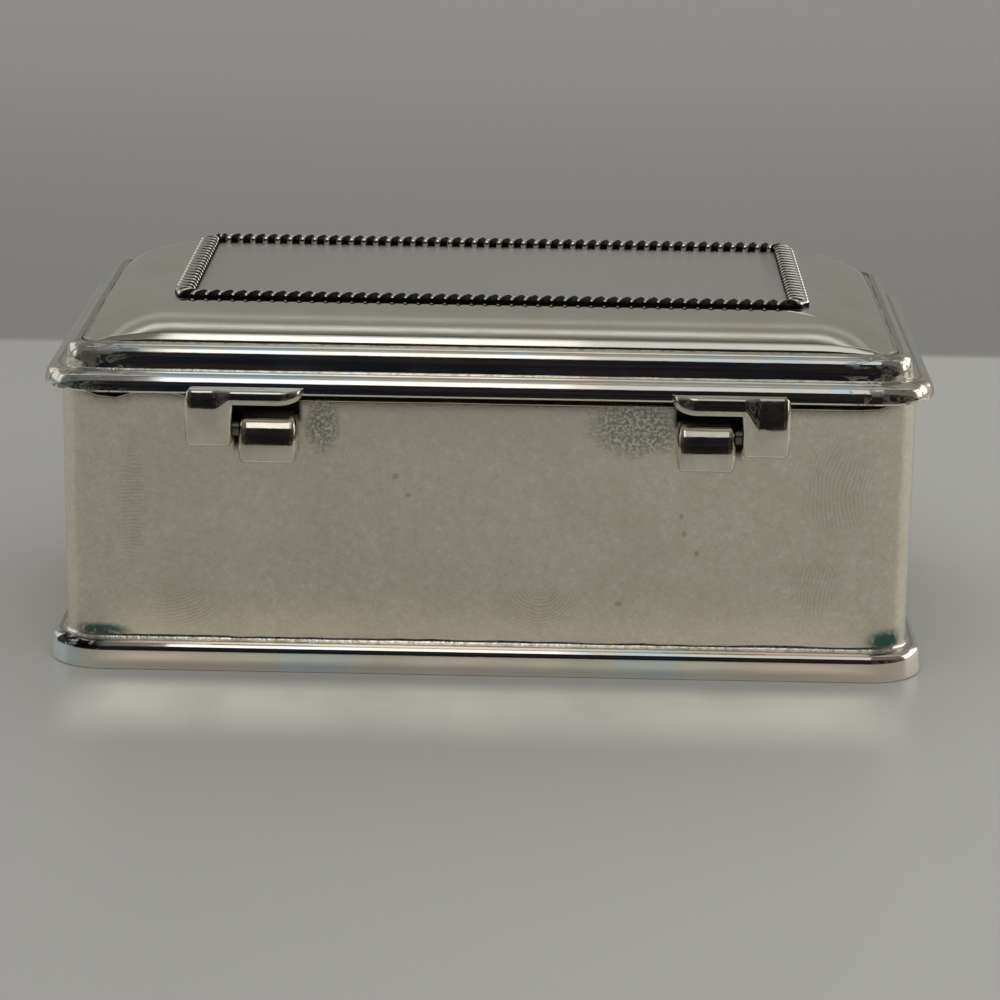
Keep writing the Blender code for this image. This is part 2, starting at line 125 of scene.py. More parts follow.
class Graph:
    """The nodes of one material, or of the world."""

    def __init__(self, name, world=False):
        self.owner = (bpy.data.worlds if world else bpy.data.materials).new(name)
        self.owner.use_nodes = True
        self.tree = self.owner.node_tree
        self.shader = self.tree.nodes["Background" if world else "Principled BSDF"]
        self.place = self.node("ShaderNodeTexCoord").outputs["Generated" if world else "Object"]

    def put(self, socket, value):
        """Link a socket or set its value."""
        if isinstance(value, bpy.types.NodeSocket):
            self.tree.links.new(value, socket)
        else:
            socket.default_value = value

    def node(self, kind, inputs=None, **settings):
        """Add a node, with its settings and inputs."""
        made = self.tree.nodes.new(kind)
        for key, value in settings.items():
            setattr(made, key, value)
        for key, value in (inputs or {}).items():
            self.put(made.inputs[key], value)
        return made

    def math(self, operation, *values):
        """One sum of one to three values."""
        made = self.node("ShaderNodeMath", operation=operation)
        for socket, value in zip(made.inputs, (*values, 0.0, 0.0)):
            self.put(socket, value)
        return made.outputs[0]

    def times(self, *values):
        """The product of some values."""
        total = values[0]
        for value in values[1:]:
            total = self.math("MULTIPLY", total, value)
        return total

    def plus(self, first, second):
        """The sum of two values."""
        return self.math("ADD", first, second)

    def largest(self, *values):
        """The largest of some values."""
        total = values[0]
        for value in values[1:]:
            total = self.math("MAXIMUM", total, value)
        return total

    def reach(self, first, second):
        """The length of a flat step."""
        return self.math("SQRT", self.plus(self.times(first, first), self.times(second, second)))

    def axis(self, name):
        """One coordinate of the place."""
        return self.node("ShaderNodeSeparateXYZ", {"Vector": self.place}).outputs[name]

    def aside(self, name="X"):
        """Distance from the middle along one axis."""
        return self.math("ABSOLUTE", self.axis(name))

    def upward(self):
        """How far the surface faces up, from -1 to 1, with the box closed."""
        facing = self.node("ShaderNodeTexCoord").outputs["Normal"]
        return self.node("ShaderNodeSeparateXYZ", {"Vector": facing}).outputs["Z"]

    def stretch(self, scale, turn=(0, 0, 0)):
        """Object coordinates, turned and scaled."""
        made = self.node("ShaderNodeMapping", {"Vector": self.place})
        made.inputs["Rotation"].default_value = turn
        made.inputs["Scale"].default_value = scale
        return made.outputs[0]

    def noise(self, size, detail=3.0, rough=0.55, vector=None, distort=0.0):
        """Noise whose features are about size metres wide."""
        made = self.node("ShaderNodeTexNoise", {
            "Vector": vector or self.place, "Scale": 1 / size, "Detail": detail,
            "Roughness": rough, "Distortion": distort,
        })
        return made.outputs["Fac"]

    def cells(self, size):
        """Distance to scattered points about size metres apart."""
        return self.node("ShaderNodeTexVoronoi", {"Vector": self.place, "Scale": 1 / size}).outputs["Distance"]

    def span(self, value, low, high, to_low=0.0, to_high=1.0):
        """Map a value smoothly from one range to another, held at its ends."""
        made = self.node("ShaderNodeMapRange", clamp=True, interpolation_type="SMOOTHSTEP")
        for key, number in zip(("Value", "From Min", "From Max", "To Min", "To Max"),
                               (value, low, high, to_low, to_high)):
            self.put(made.inputs[key], number)
        return made.outputs["Result"]

    def past(self, value, low, high):
        """0 before low and 1 after high, in millimetres, for a length or a named axis."""
        return self.span(self.axis(value) if isinstance(value, str) else value, low * MM, high * MM)

    def mix(self, share, first, second):
        """Blend two colours."""
        made = self.node("ShaderNodeMix", data_type="RGBA")
        self.put(made.inputs["Factor"], share)
        for socket, colour in ((made.inputs[6], first), (made.inputs[7], second)):
            self.put(socket, (*colour, 1.0) if isinstance(colour, tuple) else colour)
        return made.outputs[2]

    def bump(self, height, depth, before=None):
        """Small relief: height runs from 0 to 1 over a depth in metres."""
        made = self.node("ShaderNodeBump", {"Height": height, "Distance": depth, "Strength": 1.0})
        if before is not None:
            self.put(made.inputs["Normal"], before)
        return made.outputs["Normal"]

    def finish(self, colour, roughness, metallic=1.0, normal=None):
        """Set the main sockets of the shader."""
        self.put(self.shader.inputs["Base Color"], colour)
        self.put(self.shader.inputs["Roughness"], roughness)
        self.put(self.shader.inputs["Metallic"], metallic)
        if normal is not None:
            self.put(self.shader.inputs["Normal"], normal)
        return self.owner


BRIGHT_SILVER = (0.92, 0.90, 0.82)
WARM_SILVER = (0.87, 0.83, 0.71)
DULL_SILVER = (0.76, 0.71, 0.61)
PANEL_SILVER = (0.60, 0.59, 0.56)
CREAM_STAIN = (0.97, 0.82, 0.71)
BLUE_STAIN = (0.76, 0.89, 0.95)
LEDGE_DIRT = (0.42, 0.40, 0.35)
DRIED_POLISH = (0.34, 0.31, 0.26)
BLACK_TARNISH = (0.030, 0.028, 0.026)
# Black of the border's grime in its grooves and of its painted dark reflection.
BLACK_GRIME_AND_REFLECTION = (0.012, 0.011, 0.010)
BROWN_SPOT = (0.34, 0.24, 0.16)
RIDGE_DIRT = (0.50, 0.45, 0.37)
VERDIGRIS = (0.016, 0.105, 0.095)


def polished_silver():
    """Bright silver of the mouldings: faint waves, smears, stains and hairline scratches."""
    graph = Graph("polished_silver")
    smear = graph.noise(9 * MM, 3)
    stain = graph.noise(22 * MM, 4, 0.6)
    colour = graph.mix(graph.span(smear, 0.35, 0.7), BRIGHT_SILVER, WARM_SILVER)
    colour = graph.mix(graph.span(stain, 0.50, 0.60, 0.0, 0.8), colour, CREAM_STAIN)
    colour = graph.mix(graph.span(stain, 0.47, 0.38, 0.0, 0.8), colour, BLUE_STAIN)
    ledge = graph.span(graph.upward(), 0.975, 0.998)
    colour = graph.mix(graph.times(ledge, 0.85), colour, LEDGE_DIRT)
    # Dried polish near the lid's back corners.
    dried = graph.noise(1.1 * MM, 3, 0.6, graph.stretch((0.35, 1, 1)), distort=1.0)
    dried = graph.times(graph.span(dried, 0.52, 0.58), graph.past(graph.aside(), 48, 54),
                        graph.past("Z", 30, 34), graph.past("Y", 24, 31))
    colour = graph.mix(graph.times(dried, 0.9), colour, DRIED_POLISH)
    # Black tarnish round one corner of the foot.
    black = graph.noise(1.4 * MM, 4, 0.65, graph.stretch((0.5, 1, 1)))
    black = graph.times(graph.span(black, 0.44, 0.47), graph.past("X", 54, 56.5), graph.past("Z", 2.6, 3.1),
                        graph.past("Z", 6.2, 5.8), graph.past("Y", 29, 31))
    colour = graph.mix(black, colour, BLACK_TARNISH)
    roughness = graph.span(smear, 0.3, 0.75, 0.04, 0.10)
    roughness = graph.plus(roughness, graph.times(ledge, 0.32))
    roughness = graph.plus(roughness, graph.times(dried, 0.35))
    waves = graph.bump(graph.noise(6 * MM, 1), 0.016 * MM)
    hairs = graph.noise(0.12 * MM, 2, vector=graph.stretch((0.04, 1, 1)))
    return graph.finish(colour, roughness, normal=graph.bump(hairs, 0.0012 * MM, waves))


def hinge_silver():
    """Silver of the hinge castings: softer shine, filed tops with dried polish on them."""
    graph = Graph("hinge_silver")
    smear = graph.noise(3 * MM, 4, 0.6)
    colour = graph.mix(graph.span(smear, 0.35, 0.7), (0.76, 0.71, 0.615), (0.66, 0.615, 0.53))
    filed = graph.span(graph.upward(), 0.86, 0.95)
    streaks = graph.noise(0.5 * MM, 3, 0.6, graph.stretch((0.08, 1, 1)))
    dried = graph.mix(graph.span(streaks, 0.35, 0.6), (0.16, 0.14, 0.11), (0.52, 0.48, 0.40))
    colour = graph.mix(filed, colour, dried)
    roughness = graph.plus(graph.span(smear, 0.3, 0.75, 0.05, 0.13), graph.times(filed, 0.28))
    grain = graph.bump(graph.noise(0.5 * MM, 3, 0.6), 0.004 * MM)
    return graph.finish(colour, roughness, normal=graph.bump(graph.noise(2.5 * MM, 2), 0.014 * MM, grain))


def cover_silver():
    """Silver of the cover: bright shoulder, softer crown, and a finely brushed panel."""
    graph = Graph("cover_silver")
    panel = graph.times(graph.past(graph.aside(), 45.8, 45.2), graph.past(graph.aside("Y"), 22.5, 21.9))
    smear = graph.noise(9 * MM, 3)
    colour = graph.mix(graph.span(smear, 0.35, 0.7), BRIGHT_SILVER, WARM_SILVER)
    colour = graph.mix(panel, colour, PANEL_SILVER)
    polished = graph.span(smear, 0.3, 0.75, 0.06, 0.10)
    brushed = graph.span(smear, 0.3, 0.75, 0.43, 0.47)
    roughness = graph.plus(graph.times(panel, brushed),
                           graph.times(graph.math("SUBTRACT", 1.0, panel), polished))
    waves = graph.bump(graph.noise(7 * MM, 1), 0.010 * MM)
    hairs = graph.noise(0.14 * MM, 2, vector=graph.stretch((0.03, 1, 1)))
    return graph.finish(colour, roughness, normal=graph.bump(hairs, 0.0012 * MM, waves))


def solder_finish(name, pale, dark, smooth):
    """Uneven solder: pitted, a little yellow, and darker where polish has dried on it."""
    graph = Graph(name)
    lumps = graph.noise(0.8 * MM, 4, 0.65)
    dirt = graph.noise(5 * MM, 3, 0.6)
    colour = graph.mix(graph.span(lumps, 0.30, 0.55), dark, pale)
    colour = graph.mix(graph.span(dirt, 0.55, 0.68, 0.0, 0.7), colour, dark)
    roughness = graph.span(lumps, 0.3, 0.7, smooth + 0.16, smooth)
    pits = graph.span(graph.cells(0.6 * MM), 0.1, 0.45)
    return graph.finish(colour, roughness, normal=graph.bump(pits, 0.012 * MM, graph.bump(lumps, 0.03 * MM)))


def gadroon_silver():
    """Silver of the border, with black grime in its grooves and a painted dark reflection on its outer face.
    """
    graph = Graph("gadroon_silver")
    grime_and_reflection = graph.node("ShaderNodeAttribute", attribute_name="grime_and_reflection").outputs["Fac"]
    streak = graph.noise(0.5 * MM, 2)
    # The attribute holds black grime in the grooves and a painted dark reflection on the outer face.
    share = graph.span(graph.plus(grime_and_reflection, graph.times(streak, 0.25)), 0.24, 0.42)
    colour = graph.mix(share, BRIGHT_SILVER, BLACK_GRIME_AND_REFLECTION)
    roughness = graph.span(share, 0, 1, 0.08, 0.55)
    return graph.finish(colour, roughness, normal=graph.bump(streak, 0.01 * MM))


# Marks on the back wall, as (X, Z, half width, half height) in millimetres.
WALL_SPOTS = ((13.0, 28.9, 0.5, 0.4), (11.2, 26.1, 0.4, 0.3), (-19.0, 10.5, 0.5, 0.4),
              (-28.2, 21.1, 0.35, 0.5), (-30.1, 18.2, 0.35, 0.4), (-27.8, 23.7, 0.3, 0.4))
# Finger marks: middle, half sizes, centre of the ridges' curves, and the ridges' period.
FINGER_MARKS = (
    ((-7.6, 9.9), (5.8, 2.8), (-7.6, 13.5), 0.52),
    ((-47.4, 14.0), (3.4, 4.4), (-60.0, 11.0), 0.55),
    ((-49.9, 28.3), (4.6, 6.8), (-62.0, 27.0), 0.60),
    ((42.9, 9.1), (4.2, 3.4), (47.0, 20.0), 0.50),
    ((50.6, 24.0), (1.6, 9.0), (50.6, 90.0), 0.55),
)
# Frosted flux marks beside the hinges.
FROSTED = ((23.4, 36.1, 2.1, 3.4), (-20.9, 36.6, 5.6, 3.8))
# Green deposit in the lower corners.
GREEN_MARKS = ((55.3, 5.1, 3.6, 1.0), (-57.7, 5.5, 2.6, 1.5))


def worn_silver():
    """Silver sheet of the walls: fine grain, finger marks, spots, painted shade near their upper edge, and
    painted shade round the hinges.
    """
    graph = Graph("worn_silver")
    across, up, beside = graph.axis("X"), graph.axis("Z"), graph.aside()
    at_back = graph.past("Y", 30, 31)
    ragged = graph.noise(1.3 * MM, 4, 0.7)
    wander = graph.noise(4 * MM, 2)

    def oval(middle_x, middle_z, half_x, half_z, soft=0.5):
        """1 inside an uneven oval, falling to 0 round it."""
        aside = graph.times(graph.math("SUBTRACT", across, middle_x * MM), 1 / (half_x * MM))
        above = graph.times(graph.math("SUBTRACT", up, middle_z * MM), 1 / (half_z * MM))
        uneven = graph.times(graph.math("SUBTRACT", ragged, 0.5), 0.9)
        reach = graph.plus(graph.reach(aside, above), uneven)
        return graph.times(graph.span(reach, 1.0 + soft / 2, 1.0 - soft / 2), at_back)

    cloud = graph.noise(16 * MM, 4)
    grain = graph.noise(0.42 * MM, 3, 0.65, distort=1.2)
    mottle = graph.noise(1.1 * MM, 4, 0.7)
    colour = graph.mix(graph.span(cloud, 0.3, 0.7), (0.77, 0.715, 0.60), (0.85, 0.79, 0.68))
    colour = graph.mix(graph.span(grain, 0.40, 0.66, 0.0, 0.45), colour, (0.62, 0.56, 0.46))
    colour = graph.mix(graph.span(mottle, 0.50, 0.70, 0.0, 0.40), colour, (0.66, 0.57, 0.43))
    colour = graph.mix(graph.span(mottle, 0.46, 0.32, 0.0, 0.40), colour, (0.95, 0.92, 0.84))
    # Painted shade: the long walls grow darker towards their upper edge, most in the middle.
    dull = graph.times(graph.past(up, 31, 39), graph.past(beside, 34, 18), 0.35)
    colour = graph.mix(dull, colour, (0.60, 0.56, 0.47))
    spots = graph.largest(*(oval(*spot) for spot in WALL_SPOTS))
    colour = graph.mix(graph.times(spots, 0.45), colour, BROWN_SPOT)
    frost = graph.largest(*(oval(*mark, 0.8) for mark in FROSTED))
    speckle = graph.span(graph.noise(0.5 * MM, 3, 0.7), 0.42, 0.60)
    colour = graph.mix(graph.times(frost, speckle, 0.65), colour, (0.95, 0.98, 0.92))
    colour = graph.mix(graph.times(frost, graph.span(speckle, 1.0, 0.0, 0.0, 0.6)), colour, (0.20, 0.21, 0.16))
    green = graph.largest(*(oval(*mark, 0.9) for mark in GREEN_MARKS))
    green = graph.times(green, graph.span(ragged, 0.36, 0.50, 0.35, 1.0))
    colour = graph.mix(graph.times(green, 0.92), colour, VERDIGRIS)
    # Painted shade, near black, behind and between the hinge castings.
    behind = graph.times(graph.past(beside, 26.0, 26.9), graph.past(beside, 36.4, 35.7),
                         graph.past(up, 36.2, 37.2))
    between = graph.times(graph.past(beside, 34.3, 34.7), graph.past(beside, 36.3, 35.9),
                          graph.past(up, 31.6, 33.6))
    colour = graph.mix(graph.times(graph.largest(behind, between), at_back), colour, (0.012, 0.011, 0.009))

    ridges = None
    for middle, half, (centre_x, centre_z), period in FINGER_MARKS:
        reach = graph.reach(graph.math("SUBTRACT", across, centre_x * MM),
                            graph.math("SUBTRACT", up, centre_z * MM))
        reach = graph.plus(reach, graph.times(wander, 1.2 * MM))
        wave = graph.math("SINE", graph.times(reach, 2 * math.pi / (period * MM)))
        wave = graph.times(graph.math("MULTIPLY_ADD", wave, 0.5, 0.5), oval(*middle, *half, 0.9))
        ridges = wave if ridges is None else graph.plus(ridges, wave)
    colour = graph.mix(graph.times(ridges, 0.42), colour, RIDGE_DIRT)
    roughness = graph.plus(graph.span(cloud, 0.3, 0.7, 0.19, 0.24), graph.times(frost, 0.2))
    brushed = graph.noise(0.3 * MM, 2, vector=graph.stretch((1, 1, 0.03)))
    normal = graph.bump(grain, 0.012 * MM, graph.bump(brushed, 0.004 * MM))
    normal = graph.bump(graph.times(frost, speckle), 0.05 * MM, normal)
    return graph.finish(colour, roughness, normal=graph.bump(ridges, 0.004 * MM, normal))


def pin_steel():
    """Dark steel of the pins, with a little variation."""
    graph = Graph("pin_steel")
    tone = graph.mix(graph.noise(3 * MM, 3), (0.17, 0.165, 0.15), (0.136, 0.132, 0.12))
    return graph.finish(tone, 0.34, normal=graph.bump(graph.noise(0.4 * MM, 2), 0.01 * MM))


def velvet_cloth():
    """Cotton velvet: a dense nap that shades where it has been brushed the other way."""
    graph = Graph("velvet")
    brushed = graph.noise(7 * MM, 3, 0.6, graph.stretch((0.5, 1, 1)))
    nap = graph.noise(0.35 * MM, 3, 0.7)
    colour = graph.mix(graph.span(brushed, 0.42, 0.60), (0.019, 0.033, 0.112), (0.026, 0.045, 0.150))
    colour = graph.mix(graph.span(nap, 0.45, 0.70, 0.0, 0.35), colour, (0.060, 0.090, 0.250))
    lint = graph.span(graph.cells(5 * MM), 0.035, 0.02, 0.0, 0.5)
    colour = graph.mix(lint, colour, (0.30, 0.31, 0.36))
    for name, value in (("Weight", 0.55), ("Roughness", 0.35), ("Tint", (0.35, 0.45, 0.85, 1))):
        graph.put(graph.shader.inputs["Sheen " + name], value)
    return graph.finish(colour, 0.92, 0.0, graph.bump(nap, 0.06 * MM, graph.bump(brushed, 0.15 * MM)))


def bezel_silver_painted_shade():
    """Silver of the bezel: painted shade, near black, where the lid's rim closes over it, and lighter silver
    along its top.
    """
    graph = Graph("bezel_silver_painted_shade")
    cloud = graph.noise(2.5 * MM, 4, 0.65)
    level = graph.plus(graph.axis("Z"), graph.times(cloud, 0.8 * MM))
    # Painted shade: near black below the rim's level, where the closed lid shades the bezel; lighter silver
    # above.
    dark = graph.mix(graph.span(cloud, 0.35, 0.65), (0.035, 0.030, 0.024), (0.085, 0.066, 0.045))
    colour = graph.mix(graph.past(level, 41.3, 42.3), dark, (0.52, 0.48, 0.40))
    roughness = graph.span(cloud, 0.3, 0.7, 0.34, 0.48)
    return graph.finish(colour, roughness, normal=graph.bump(cloud, 0.02 * MM))


def backing_card():
    """Grey-brown card: pressed fibres and a few darker flecks."""
    graph = Graph("lining_card")
    fibres = graph.noise(0.5 * MM, 4, 0.7, graph.stretch((0.3, 1, 1)))
    flecks = graph.span(graph.cells(2.4 * MM), 0.05, 0.02, 0.0, 0.6)
    colour = graph.mix(graph.span(fibres, 0.35, 0.65), (0.42, 0.36, 0.27), (0.33, 0.28, 0.205))
    colour = graph.mix(flecks, colour, (0.16, 0.12, 0.08))
    return graph.finish(colour, 0.88, 0.0, graph.bump(fibres, 0.04 * MM))


def plate_silver():
    """Underside of the box: dull silver, scratched by what it stood on."""
    graph = Graph("plate_silver")
    cloud = graph.noise(12 * MM, 4)
    scratches = graph.noise(0.25 * MM, 3, 0.6, graph.stretch((0.03, 1, 1), (0, 0, 0.5)))
    crossing = graph.noise(0.3 * MM, 2, 0.6, graph.stretch((1, 0.04, 1), (0, 0, 0.2)))
    marks = graph.largest(graph.span(scratches, 0.60, 0.68), graph.span(crossing, 0.62, 0.70))
    colour = graph.mix(graph.span(cloud, 0.35, 0.7), DULL_SILVER, (0.62, 0.57, 0.47))
    colour = graph.mix(graph.times(marks, 0.5), colour, (0.88, 0.86, 0.80))
    roughness = graph.span(cloud, 0.3, 0.7, 0.24, 0.36)
    return graph.finish(colour, roughness, normal=graph.bump(marks, 0.01 * MM))


SMALLEST_RADIUS = 0.05 * MM


def rounded_outline(length, width, radius):
    """Points of a rounded rectangle, anticlockwise, with even steps along its sides."""
    radius = max(min(radius, length / 2, width / 2), SMALLEST_RADIUS)
    half_x, half_y = length / 2 - radius, width / 2 - radius
    centres = ((half_x, half_y), (-half_x, half_y), (-half_x, -half_y), (half_x, -half_y))
    points = []
    for corner, (centre_x, centre_y) in enumerate(centres):
        for step in range(CORNER_STEPS + 1):
            angle = math.pi / 2 * (corner + step / CORNER_STEPS)
            points.append(Vector((centre_x + radius * math.cos(angle), centre_y + radius * math.sin(angle))))
        following = centres[(corner + 1) % 4]
        run = abs(following[0] - centre_x) + abs(following[1] - centre_y)
        pieces = SIDE_PIECES[corner % 2]
        start, heading = points[-1], math.pi / 2 * (corner + 2)
        along = Vector((math.cos(heading), math.sin(heading)))
        points += [start + along * run * piece / pieces for piece in range(1, pieces)]
    return points


def ring(length, width, radius, height):
    """A level ring."""
    return [(point.x, point.y, height) for point in rounded_outline(length, width, radius)]


def finish_mesh(name, shape, material, sharp=40):
    """Make a smooth-shaded object of a bmesh."""
    bmesh.ops.recalc_face_normals(shape, faces=shape.faces)
    mesh = bpy.data.meshes.new(name)
    shape.to_mesh(mesh)
    shape.free()
    mesh.shade_smooth()
    mesh.set_sharp_from_angle(angle=math.radians(sharp))
    mesh.materials.append(material)
    made = bpy.data.objects.new(name, mesh)
    bpy.context.collection.objects.link(made)
    return made


def skin(name, rings, material, closed=True, sharp=40):
    """Join rings with quads: a closed set joins its last ring to its first, an open one is capped."""
    shape = bmesh.new()
    loops = [[shape.verts.new(point) for point in points] for points in rings]
    pairs = list(zip(loops, loops[1:]))
    if closed:
        pairs.append((loops[-1], loops[0]))
    for near, far in pairs:
        for index, vertex in enumerate(near):
            following = (index + 1) % len(near)
            shape.faces.new((vertex, near[following], far[following], far[index]))
    if not closed:
        shape.faces.new(loops[0])
        shape.faces.new(loops[-1])
    return finish_mesh(name, shape, material, sharp)


def moulding(name, outline, section, material, sharp=40):
    """Carry a closed section of (inset, height) points round an outline (length, width, radius)."""
    length, width, radius = outline
    rings = [ring(length - 2 * inset, width - 2 * inset, max(radius - inset, radius / 4), height)
             for inset, height in section]
    return skin(name, rings, material, True, sharp)


def lean_arc(start, arcs):
    """Points (out, height, lean) from a start point up a run of arcs.

    Each arc has a lean at its start and end, a radius, and steps. Leans are in degrees: 0 faces outwards
    and 90 faces up.
    """
    points = []
    out, height = start
    for begin, end, radius, steps in arcs:
        first = math.radians(begin)
        for step in range(1 if points else 0, steps + 1):
            lean = begin + (end - begin) * step / steps
            turn = math.radians(lean)
            points.append((out - radius * (math.cos(first) - math.cos(turn)),
                           height + radius * (math.sin(turn) - math.sin(first)), lean))
        out, height, _ = points[-1]
    return points


def climb(start, arcs):
    """Section points (inset, height) from a start point up a run of arcs."""
    inset, height = start
    return [(-out, up) for out, up, _ in lean_arc((-inset, height), arcs)]


# How close fitted pieces lie.
TOUCH = 0.02 * MM
FACE_LEAN = 6
RIM_ARCS = ((FACE_LEAN, 24, 4.37 * MM, 10), (24, 50.6, 1.6 * MM, 8), (50.6, 90, 2.17 * MM, 12))
STEP_ARCS = ((FACE_LEAN, 24, 5.6 * MM, 12), (24, 50, 1.2 * MM, 7), (50, 90, 1.6 * MM, 12))
BASE_LEAN = 5
BASE_ARCS = ((BASE_LEAN, 24, 2.2 * MM, 10), (24, 50, 1.05 * MM, 7), (50, 90, 1.2 * MM, 9))
FOOT_EDGE = 0.25 * MM
RIM_EDGE = 0.16 * MM
STEP_WIDTH = 2.4 * MM


def strip_section(lower, arcs, inner, top):
    """Section of a strip: its lower edge, a leaning face, a run of arcs up to the top, and a plain back."""
    inset, level = lower[-1]
    rise = top - level - sum(radius * (math.sin(math.radians(end)) - math.sin(math.radians(start)))
                             for start, end, radius, _ in arcs)
    foot = (inset + rise * math.tan(math.radians(arcs[0][0])), level + rise)
    return lower + climb(foot, arcs) + [(inner, top), (inner, lower[0][1])]


def base_moulding(material):
    """Foot strip: upright face, rounded upper edge and a flat ledge up to the wall."""
    outline = (BASE_LENGTH, BASE_WIDTH, WALL_RADIUS + BASE_OVERHANG)
    lower = climb((FOOT_EDGE, 0), [(-90, BASE_LEAN, FOOT_EDGE, 4)])
    section = strip_section(lower, BASE_ARCS, BASE_OVERHANG - TOUCH, BASE_TOP)
    made = moulding("foot_moulding", outline, section, material)
    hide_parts("base_moulding")
    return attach(made, "box")


def rim_moulding(material):
    """Rim of the lid: a small lower edge, a long soft curve and a rounded upper edge."""
    lower = climb((RIM_EDGE, RIM_LOW), [(-90, FACE_LEAN, RIM_EDGE, 5)])
    section = strip_section(lower, RIM_ARCS, RIM_OVERHANG + WALL_THICKNESS - 0.2 * MM, RIM_TOP)
    made = moulding("rim_moulding", LID_OUTLINE, section, material)
    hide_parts("lid_rim_moulding")
    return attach(made, "lid")


def step_moulding(material):
    """Step of the lid: upright foot, a long soft curve and a rounded upper edge."""
    section = strip_section([(STEP_INSET, RIM_TOP + TOUCH)], STEP_ARCS, STEP_INSET + STEP_WIDTH, STEP_TOP)
    made = moulding("step_moulding", LID_OUTLINE, section, material)
    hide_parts("lid_step_moulding")
    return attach(made, "lid")


SHOULDER_ARCS = ((12, 24, 2.2 * MM, 5), (24, 50.6, 2.15 * MM, 12))
CROWN_SLOPE = math.radians(90 - 50.6)
CROWN_END_SLOPE = math.radians(23.8)
CROWN_STEPS = 24
COVER_THICKNESS = 0.8 * MM
COVER_RADIUS = 3.2 * MM
# How much rounder the crown's corners get on its way up.
CROWN_FULLNESS = 1.0 * MM
# The crown draws in later at its two ends than at its sides.
END_CREEP = 2.2
# How far the cover sinks towards its corners, as a share of its height over the step.
CORNER_SAG = 0.9
SAG_START = 46.5 * MM


def cover_rings(depth):
    """Rings of the cover's sheet from its foot to its panel, at a depth under the outer face."""
    shoulder = climb((COVER_INSET, STEP_TOP + TOUCH), SHOULDER_ARCS)
    rings = [(LID_LENGTH - 2 * (inset + depth), LID_WIDTH - 2 * (inset + depth), COVER_RADIUS - depth,
              height - depth) for inset, height in shoulder]
    rings[0] = (*rings[0][:3], STEP_TOP + TOUCH)
    inset, height = shoulder[-1]
    foot = (LID_LENGTH - 2 * inset, LID_WIDTH - 2 * inset, COVER_RADIUS)
    panel = (BORDER_LENGTH + 0.3 * MM, BORDER_WIDTH + 0.3 * MM, BORDER_RADIUS + 0.15 * MM)
    rise = PANEL_TOP - height
    reach = math.sin(CROWN_SLOPE) - math.sin(CROWN_END_SLOPE)
    full = math.cos(CROWN_END_SLOPE) - math.cos(CROWN_SLOPE)
    for step in range(1, CROWN_STEPS + 1):
        share = step / CROWN_STEPS
        slope = math.asin(math.sin(CROWN_SLOPE) - reach * share)
        level = height + rise * (math.cos(slope) - math.cos(CROWN_SLOPE)) / full
        length, width, radius = (low + (high - low) * part for low, high, part in zip(
            foot, panel, (share ** END_CREEP, share, share)))
        radius += CROWN_FULLNESS * 4 * share * (1 - share)
        rings.append((length - 2 * depth, width - 2 * depth, radius - depth, level - depth))
    return rings


def sagged(x, y, z):
    """A point of the cover, lower near its corners, where the sheet was stretched most."""
    beyond = max(0.0, abs(x) - SAG_START) / (COVER_LENGTH / 2 - SAG_START)
    cornered = beyond ** 2 * (abs(y) / (COVER_WIDTH / 2)) ** 3
    foot = STEP_TOP + TOUCH
    return x, y, foot + (z - foot) * (1 - CORNER_SAG * min(1.0, cornered)) if z > foot else z


def cover(material):
    """Domed cover of the lid."""
    rings = cover_rings(COVER_THICKNESS)[::-1] + cover_rings(0)
    points = [[sagged(x, y, z) for x, y, z in ring(*size)] for size in rings]
    made = skin("dome_cover", points, material, False, 18)
    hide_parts("lid_cover")
    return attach(made, "lid")


WALL_LOW_TOP = 39.75 * MM
BACK_DEPTH = 7 * MM
# Where the low edge rises to its full height: (middle, half width, run), and (start, run) near the corners.
RISEN_PLACE = (46.8 * MM, 3.2 * MM, 1.5 * MM)
CORNER_RISE = (54.5 * MM, 3 * MM)
WALL_FOOT = 1.02 * MM
WALL_EDGE = 0.25 * MM
WALL_RINGS = 24


def held_within(value, low=0.0, high=1.0):
    """A value held between two ends."""
    return max(low, min(high, value))


def wall_top(x, y):
    """Height of the walls' upper edge: lower along the back, where the lid stands clear of it."""
    if y < WALL_WIDTH / 2 - BACK_DEPTH:
        return WALL_TOP
    full = WALL_TOP - 0.05 * MM
    low = WALL_LOW_TOP + 0.08 * MM * noise.noise(Vector((x * 90, 0, 3)))
    middle, half, run = RISEN_PLACE
    risen = 1 - held_within((abs(x - middle) - half) / run)
    start, run = CORNER_RISE
    return low + (full - low) * max(risen, held_within((abs(x) - start) / run))


def wall_band(material):
    """Walls of the body: one band of sheet with rounded corners and an uneven upper edge at the back."""
    low, edge = WALL_FOOT, WALL_EDGE
    outline = rounded_outline(WALL_LENGTH, WALL_WIDTH, WALL_RADIUS)
    inner = rounded_outline(WALL_LENGTH - 2 * WALL_THICKNESS, WALL_WIDTH - 2 * WALL_THICKNESS,
                            WALL_RADIUS - WALL_THICKNESS)
    rings = []
    for step in range(WALL_RINGS + 1):
        share = step / WALL_RINGS
        rings.append([(p.x, p.y, low + (wall_top(p.x, p.y) - edge - low) * share) for p in outline])
    for step in range(1, 5):
        turn = math.pi / 2 * step / 4
        slid = edge * (1 - math.cos(turn)) / WALL_THICKNESS
        rings.append([
            (p.x + (q.x - p.x) * slid, p.y + (q.y - p.y) * slid,
             wall_top(p.x, p.y) - edge + edge * math.sin(turn)) for p, q in zip(outline, inner)])
    rings.append([(q.x, q.y, wall_top(p.x, p.y)) for p, q in zip(outline, inner)])
    rings.append([(q.x, q.y, low) for q in inner])
    made = skin("wall_band", rings, material, True)
    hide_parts("body_walls")
    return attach(made, "box")


